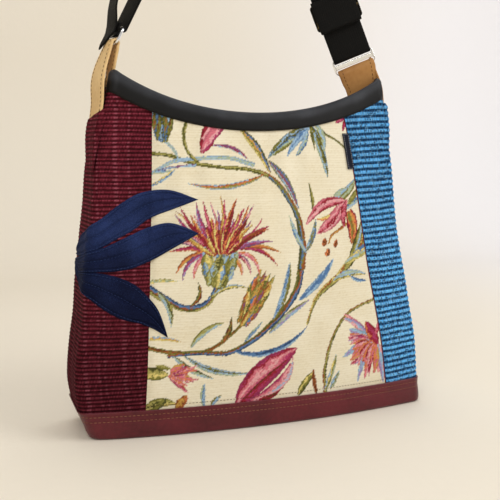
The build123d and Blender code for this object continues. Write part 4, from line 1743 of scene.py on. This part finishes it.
    def tab(self, side: Side, plate: PlateFrame, cut: TabCut, leather: Material,
            thread: Material) -> None:
        """Make one tab: its outer leg, the fold over the plate and its inner leg, with edge stitching.

        Args:
            side: The bag's end that it is sewn to.
            plate: The plate that it holds.
            cut: How it is cut and folded.
            leather: Its material.
            thread: Its stitching's material.
        """
        wide, leg_rows = self.tab_width, 40
        neck = self.form.height - self.tab_neck
        levels = (cut.foot, (cut.foot + neck) / 2, neck)
        turns = np.radians(cut.turns)
        above = wide * cut.above
        angle = np.linspace(0, math.pi, 14)
        over = plate.at(cut.fold_up + cut.fold * np.sin(angle), -side.value * cut.fold * np.cos(angle))
        over = over + plate.along * ((wide - above) / 2)
        outer = [self.wall_row(side, *row, wide * cut.below) for row in zip(levels, turns, cut.stands)]
        outer.append(np.array([*over[0], *plate.along, above]))
        inner = [np.array([*over[-1], *plate.along, above])]
        corner = over[-1] - plate.along * (wide / 2)
        for z, turn, (away, share) in zip(levels[::-1], turns[::-1], cut.inner):
            middle = corner - plate.up * away + plate.along * (wide * share / 2)
            inner.append(self.wall_row(side, z, turn, away, wide * share) if cut.on_wall
                         else np.array([*middle, *plate.along, wide * share]))
        turned = np.concatenate([over, np.tile([*plate.along, above], (len(over), 1))], axis=1)
        rows = np.concatenate([self.smooth(outer, leg_rows)[:-1], turned, self.smooth(inner, leg_rows)[1:]])
        centre, across, width = rows[:, :3], rows[:, 3:6], rows[:, 6]
        name = side.name.lower()
        obj = self.strip(f"{name}_tab_leather", centre, across, width, self.tab_gauge, leather,
                         self.tab_crown)
        attach(obj, "tab_leather", f"{name}_tab", body=None)
        _, cross, face = self.squared(centre, across)
        folded = leg_rows - 1 + len(over)
        legs = {"outer": slice(2, leg_rows + 4), "inner": slice(folded - 6, folded + 34)}
        stitches, lift = Stitching(0.0026, 0.0012, 0.0003), self.tab_gauge / 2 + 0.0002
        pieces = [obj]
        for leg, part in legs.items():
            for word, sign in (("near", 1), ("far", -1)):
                path = centre[part] + cross[part] * (sign * (width[part, None] / 2 - self.tab_margin))
                for ending, way in (("", 1), ("_back", -1)):
                    out = way * face[part]
                    title = f"{name}_tab_{leg}_{word}{ending}"
                    pieces.append(stitches.row(title, path + out * lift, out, thread))
        stop = plate.at(cut.fold_up, 0.0)
        for piece in pieces:
            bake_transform(piece)

    def loop_round(self, plate: PlateFrame) -> Array:
        """Give the line of the webbing round a plate's upper bar."""
        half = np.linspace(0, math.pi, 16)
        return plate.at(self.loop_up - self.loop * np.sin(half), self.loop * np.cos(half))

    def strap(self, left: PlateFrame, right: PlateFrame, cloth: Material) -> None:
        """Make the strap with its loops, round top and quarter twist.

        Args:
            left: The left plate.
            right: The right plate.
            cloth: The webbing.
        """
        left_start, right_start = left.at(self.loop_up, -self.loop), right.at(self.loop_up, 0.0)
        span = right_start - left_start
        a, b = math.radians(self.left_hang.lean), math.radians(self.right_hang.lean)
        apex = math.pi - a - b
        left_length = (span[0] * math.cos(b) + span[2] * math.sin(b)) / math.sin(a + b)
        right_length = (span[0] * math.cos(a) - span[2] * math.sin(a)) / math.sin(a + b)
        tangent = self.apex_radius * math.tan(apex / 2)
        twist_top = right_length - (right_length - self.run - tangent) / 4 - tangent
        corner = left_start + left.up * left_length
        hub = corner - unit(left.up + right.up) * (self.apex_radius / math.cos(apex / 2))
        spoke = corner - left.up * tangent - hub
        sweep = np.linspace(0, apex, 40)
        arch = hub + np.outer(np.cos(sweep), spoke) + np.outer(np.sin(sweep), left.up * self.apex_radius)
        climb = left_start + np.outer(np.linspace(0, left_length - tangent, 60), left.up)
        fall = right_start + np.outer(np.linspace(right_length - tangent, twist_top, 16), right.up)
        share = np.linspace(0, 1, 40)[:, None]
        twist_foot = right_start + right.up * self.run + right.out * self.loop
        twist = (right_start + right.up * twist_top) * (1 - share) + twist_foot * share
        down = right.at(np.linspace(self.loop_up + self.run, self.loop_up, 70), self.loop)
        left_stub = left.at(self.loop_up + np.array([self.stub, self.stub / 2]), self.loop)
        right_stub = right.at(self.loop_up + np.array([self.stub / 2, self.stub]), -self.loop)
        flat = [left_stub, self.loop_round(left), climb[1:], arch[1:], fall[1:]]
        turned = [down[1:], self.loop_round(right)[1:], right_stub]
        centre = np.concatenate([*flat, twist[1:], *turned])
        limb = unit(np.gradient(np.concatenate(flat), axis=0))
        lean = math.radians(self.left_hang.turn)
        on_plate = np.arange(len(limb))[:, None] < len(flat[0]) + len(flat[1])
        upper = FRONT * math.cos(lean) + np.cross(limb, FRONT) * math.sin(lean)
        quarter = 90 + self.left_hang.turn - self.right_hang.turn
        angle = np.radians(quarter * (1 - share[1:]) + self.right_hang.turn)
        across = np.concatenate([
            np.where(on_plate, left.along, upper),
            np.cos(angle) * np.array([math.cos(b), 0, math.sin(b)]) + np.sin(angle) * FRONT,
            np.tile(right.along, (sum(map(len, turned)), 1)),
        ])
        obj = self.strip("strap_webbing", centre, across, self.web_width, self.web, cloth)
        attach(obj, "webbing", "strap")
        length = float(run_of(centre)[-1])

    def slack_end(self, left: PlateFrame, cloth: Material) -> None:
        """Make the strap's left end, sewn to the strap, bulging, and drawn narrow at the plate.

        Args:
            left: The left plate.
            cloth: The webbing.
        """
        start = left.at(self.loop_up, -self.loop)
        foot = left.at(np.array(self.foot_up), np.array(self.foot_out))
        foot = foot + np.outer(self.foot_along, left.along)
        bulges = [start + left.up * (self.slack_length * up) + left.out * (self.slack * out)
                  for up, out in self.bulges]
        head = start + left.up * self.slack_length + left.out * (self.web + self.ply_gap)
        line = np.concatenate([self.smooth([*foot, *bulges, head], 60),
                               head + np.outer(np.linspace(0, self.sewn, 20)[1:], left.up)])
        row = np.arange(len(line))
        roll = math.radians(self.bulge_roll) * ease(2, 16, row) * (1 - ease(38, 57, row))
        across = np.outer(np.cos(roll), left.along) + np.outer(np.sin(roll), left.out)
        width = self.web_width * (self.foot_share + (1 - self.foot_share) * ease(0, 16, row))
        obj = self.strip("strap_slack_end", line, across, width, self.web, cloth, slant=self.foot_slant)
        attach(obj, "webbing", "strap_left_end", body=None)
        tuple(left.at(0.03, 0.0))
        tuple(left.at(0.002, 0.0))
        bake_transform(obj)

    def return_run(self, right: PlateFrame, cloth: Material) -> None:
        """Make the webbing from the right plate up to the adjuster and round its bar.

        Args:
            right: The right plate.
            cloth: The webbing.
        """
        half = np.linspace(0, math.pi, 16)
        tail_out = self.loop - self.web - self.ply_gap
        low, high = self.loop_up + self.stub, self.slider_up + MM
        middle, radius = (tail_out - self.loop) / 2, (tail_out + self.loop) / 2
        line = np.concatenate([
            right.at(np.linspace(low, high, 40), -self.loop),
            right.at(high + radius * np.sin(half), middle - radius * np.cos(half))[1:-1],
            right.at(np.linspace(high, high - self.tail, 20), tail_out),
        ])
        obj = self.strip("strap_return_webbing", line, right.along, self.web_width, self.web, cloth)
        attach(obj, "webbing", "strap_return", body=None)
        tuple(right.at(low, 0.0))
        tuple(right.at(high - 0.0225, 0.0))
        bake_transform(obj)
        length = float(run_of(line)[-1])

    def sleeve(self, right: PlateFrame, cloth: Material) -> None:
        """Make the webbing over the adjuster's face, hemmed round its outer bars.

        Args:
            right: The right plate, which the adjuster is set from.
            cloth: The webbing.
        """
        half = np.linspace(0, math.pi, 12)
        reach, middle, radius, hem = 0.013, 0.0073, 0.0022, 0.006
        low, high = self.slider_up - reach, self.slider_up + reach
        face = np.linspace(low, high, 30)
        sag = 0.0006 * np.sin(math.pi * (face - low) / (high - low))
        line = np.concatenate([
            right.at(np.array([low + hem, low + hem / 2]), np.full(2, middle - radius)),
            right.at(low - radius * np.sin(half), middle - radius * np.cos(half)),
            right.at(face, middle + radius - sag)[1:-1],
            right.at(high + radius * np.sin(half), middle + radius * np.cos(half)),
            right.at(np.array([high - hem / 2, high - hem]), np.full(2, middle - radius)),
        ])
        obj = self.strip("sleeve_webbing", line, right.along, self.sleeve_width, self.web, cloth)
        attach(obj, "webbing", "slider_sleeve", body=Rides.ADJUSTER)
        length = float(run_of(line)[-1])

    def metal(self, plate: Material, slider: Material) -> None:
        """Finish the metal solids and round their edges.

        Args:
            plate: The plates' material.
            slider: The adjuster's material.
        """
        for node, finish, width in (("left_ring", plate, 0.0007), ("right_ring", plate, 0.0007),
                                    ("slider", slider, 0.0006)):
            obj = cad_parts[node]
            obj.data.materials.clear()
            obj.data.materials.append(finish)
            weld = obj.modifiers.new("weld", "WELD")
            weld.merge_threshold = 1e-6
            bevel = obj.modifiers.new("round", "BEVEL")
            bevel.width, bevel.segments = width, 3
            bevel.limit_method, bevel.angle_limit = "ANGLE", math.radians(35)
            log.info("%s: solid with rounded edges", node)

    def build(self, finishes: dict[str, Material]) -> None:
        """Make the tabs, the webbing and the metal.

        Args:
            finishes: Every finish by its name.
        """
        left, right = self.plate(Side.LEFT, self.left_hang), self.plate(Side.RIGHT, self.right_hang)
        thread, cloth = finishes["dark_thread"], finishes["webbing"]
        # the left tab takes the tan leather painted lighter, the right tab the tan leather painted darker
        self.tab(Side.LEFT, left, self.left_cut, finishes["painted_lit_tab"], thread)
        self.tab(Side.RIGHT, right, self.right_cut, finishes["tab"], thread)
        self.strap(left, right, cloth)
        self.slack_end(left, cloth)
        self.return_run(right, cloth)
        self.sleeve(right, cloth)
        self.metal(finishes["plate"], finishes["adjuster"])


@dataclass
class LabelTab:
    """A small blank woven tab caught in the right seam."""

    form: BagForm
    width: float = 0.0075
    length: float = 0.034
    top: float = 0.272
    lift: float = 0.0006
    curl: float = 0.0011

    def build(self, cloth: Material, thread: Material) -> None:
        """Make the tab, a little curled off the panel, with a sewn border.

        Args:
            cloth: Its material.
            thread: Its border's material.
        """
        line = self.form.seam(*self.form.right_seam)
        heights = np.linspace(self.top - self.length, self.top, 40)
        z, share = np.meshgrid(heights, np.linspace(0, 1, 12), indexing="ij")
        p = self.form.front(z, line(z) - self.width * (1 - share))
        slack = self.form.slack(p, z, self.form.place(z, p)[0])
        under, _ = self.form.place(z, p, slack + 0.0001)
        over, out = self.form.place(z, p, slack + self.lift + self.curl * (1 - share) ** 2)
        rows, ring = len(heights), 2 * share.shape[1]
        faces = grid_faces(rows, ring, around=True)[:, ::-1]
        caps = cap_faces(ring)
        faces = np.concatenate([faces, caps, (caps + (rows - 1) * ring)[:, ::-1]])
        across = np.concatenate([share, share[:, ::-1]], axis=1) * self.width
        point = np.concatenate([over, under[:, ::-1]], axis=1)
        obj = make_object("blank_label", point, faces, cloth, paired(across, np.repeat(heights, ring)))
        attach(obj, "label_cloth", "label_tab")
        border = {
            "near": np.s_[2:-2, 1], "far": np.s_[2:-2, -2], "top": np.s_[-2, 1:-1], "foot": np.s_[1, 1:-1],
        }
        for word, part in border.items():
            path = over[part] + out[part] * 0.00005
            Stitching(0.0014, 0.0007, 0.0002).sew(f"label_border_{word}", path, out[part], thread)


@dataclass(frozen=True)
class Lamp:
    """One soft square lamp."""

    name: str
    place: Triple
    aim: Triple
    size: float
    power: float
    colour: Colour

    def hang(self) -> None:
        """Hang the lamp, turned to its aim."""
        data = bpy.data.lights.new(self.name, "AREA")
        data.size, data.energy, data.color = self.size, self.power, self.colour
        obj = bpy.data.objects.new(self.name, data)
        obj.location = self.place
        obj.rotation_mode = "QUATERNION"
        obj.rotation_quaternion = (Vector(self.aim) - Vector(self.place)).to_track_quat("-Z", "Y")
        bpy.context.scene.collection.objects.link(obj)


@dataclass
class Studio:
    """The pale floor and wall, the soft lights and the camera."""

    eye: Triple = (-0.267, -0.729, 0.251)
    yaw: float = 19.9
    pitch: float = -6.7
    roll: float = -0.2
    focal_pixels: float = 801.0
    image_pixels: float = 500.0
    sensor: float = 36.0
    floor_near: float = -9.0
    floor_back: float = 0.9
    cove: float = 0.5
    wall_top: float = 8.0
    half_room: float = 15.0
    room_tone: Colour = (1.0, 0.98, 0.95)
    room_light: float = 0.46
    lamps: tuple[Lamp, ...] = (
        Lamp("key", (-0.9, -1.5, 1.5), (0, 0, 0.2), 1.2, 17.5, (1.0, 0.98, 0.95)),
        Lamp("fill", (1.8, -1.45, 1.6), (0, 0, 0.2), 1.6, 31.0, (1.0, 0.99, 0.98)),
        Lamp("top", (0.1, 0.3, 1.7), (0, 0, 0.25), 1.0, 7.5, (1.0, 1.0, 1.0)),
    )

    def camera(self) -> None:
        """Set the camera at the photograph's angle."""
        yaw, pitch, roll = (math.radians(v) for v in (self.yaw, self.pitch, self.roll))
        look = Vector((math.sin(yaw) * math.cos(pitch), math.cos(yaw) * math.cos(pitch), math.sin(pitch)))
        right = Vector((math.cos(yaw), -math.sin(yaw), 0))
        up = right.cross(look)
        level, upright = right, up
        right = level * math.cos(roll) + upright * math.sin(roll)
        up = upright * math.cos(roll) - level * math.sin(roll)
        data = bpy.data.cameras.new("view")
        data.sensor_width = self.sensor
        data.lens = self.sensor * self.focal_pixels / self.image_pixels
        data.clip_start, data.clip_end = 0.01, 50
        eye = bpy.data.objects.new("view", data)
        turn = Matrix((right, up, -look)).transposed()
        eye.matrix_world = Matrix.Translation(self.eye) @ turn.to_4x4()
        bpy.context.scene.collection.objects.link(eye)
        bpy.context.scene.camera = eye

    def sweep(self, plaster: Material) -> None:
        """Make the floor, which curves up into a wall behind.

        Args:
            plaster: Its material.
        """
        bend = np.linspace(0, math.pi / 2, 16)
        curve = np.stack([self.floor_back + self.cove * np.sin(bend), self.cove * (1 - np.cos(bend))], axis=1)
        wall = self.floor_back + self.cove
        profile = np.concatenate([[[self.floor_near, 0.0]], curve, [[wall, self.wall_top]]])
        x = np.linspace(-self.half_room, self.half_room, 12)
        point = np.stack([np.tile(x, len(profile)), *np.repeat(profile, len(x), axis=0).T], axis=1)
        make_object("floor", point, grid_faces(len(profile), len(x)), plaster)

    def lights(self) -> None:
        """Hang the lamps and set the soft surrounding light."""
        world = bpy.data.worlds.new("room")
        world.use_nodes = True
        back = world.node_tree.nodes["Background"]
        back.inputs["Color"].default_value = (*self.room_tone, 1.0)
        back.inputs["Strength"].default_value = self.room_light
        bpy.context.scene.world = world
        for lamp in self.lamps:
            lamp.hang()
        bpy.context.scene.view_settings.view_transform = "Standard"

    def build(self, plaster: Material) -> None:
        """Set the stage.

        Args:
            plaster: The floor's material.
        """
        self.camera()
        self.sweep(plaster)
        self.lights()


def make_finishes() -> dict[str, Material]:
    """Make every finish of the bag and the stage.

    Returns:
        The materials by name.
    """
    found = {
        "tapestry": DyedCloth("tapestry", 0.0012, 0.00018),
        "burgundy_cloth": DyedCloth("ribbed burgundy", 0.0021, 0.00025, 1.3),
        "blue_cloth": DyedCloth("looped blue", 0.0021, 0.0003, 1.1),
        "lining": PlainCloth("lining", tone(44, 22, 28), tone(70, 40, 46)),
        # The binding's light tone is a painted highlight along the top of its fold, and its darkening towards
        # the lower front edge is painted shade.
        "band": PlainCloth("black binding", tone(9, 8, 8), tone(66, 68, 74), 0.0007, 0.0, 0.00008, 0.42, 0.22,
                           tone_drift_and_painted_shade=(0.75, 0.004, 0.015)),
        # The navy leaves are painted darker towards their foot, as painted shade.
        "leaf": PlainCloth("navy applique", tone(11, 16, 40), tone(50, 67, 118), 0.0011, 0.8, 0.00025, 0.75,
                           mottle=0.8, grain=1500.0, tone_drift_and_painted_shade=(0.42, 0.1, 0.21)),
        "label": PlainCloth("blank label", tone(20, 22, 32), tone(42, 44, 56), 0.0006),
        "base": Leather("burgundy leather", tone(64, 11, 20), tone(106, 28, 38), 0.34, coat=0.12),
        # Both tabs are one tan leather: the left tab's paler copy is painted light and the right tab's darker
        # copy is painted shade.
        "painted_lit_tab": Leather("pale tan leather", tone(203, 163, 105), tone(239, 207, 152), 0.6, grain=1900.0),
        "tab": Leather("tan leather", tone(150, 98, 48), tone(190, 140, 80), 0.55, grain=1900.0),
        "webbing": Webbing("black webbing", tone(6, 6, 5), tone(22, 20, 18)),
        "plate": Metal("bright plate", (0.88, 0.88, 0.88), (0.94, 0.93, 0.90), 0.2, 0.1),
        "adjuster": Metal("dark plate", tone(26, 24, 22), tone(150, 128, 84), 0.34, 0.1),
        "tan_thread": Thread("tan thread", tone(146, 98, 74)),
        "navy_thread": Thread("navy thread", tone(44, 60, 104)),
        "pale_thread": Thread("pale thread", tone(186, 188, 196)),
        "dark_thread": Thread("brown thread", tone(92, 62, 38)),
        # The plaster's near-white tone is painted light on the brighter side of the room.
        "plaster": Backdrop("pale plaster", tone(229, 221, 206), tone(247, 245, 246)),
    }
    return {key: finish.material() for key, finish in found.items()}


def main() -> None:
    """Build the bag piece by piece."""
    logging.basicConfig(level=logging.INFO, format="%(message)s")
    finishes = make_finishes()
    form = BagForm()
    Studio().build(finishes["plaster"])
    Panels(form, Yarns()).build(finishes)
    LeatherBase(form).build(finishes["base"], finishes["tan_thread"])
    RimBand(form).build(finishes["band"])
    Leaves(form).build(finishes["leaf"], finishes["navy_thread"])
    LabelTab(form).build(finishes["label"], finishes["pale_thread"])
    Straps(form).build(finishes)


if __name__ == "__main__":
    main()
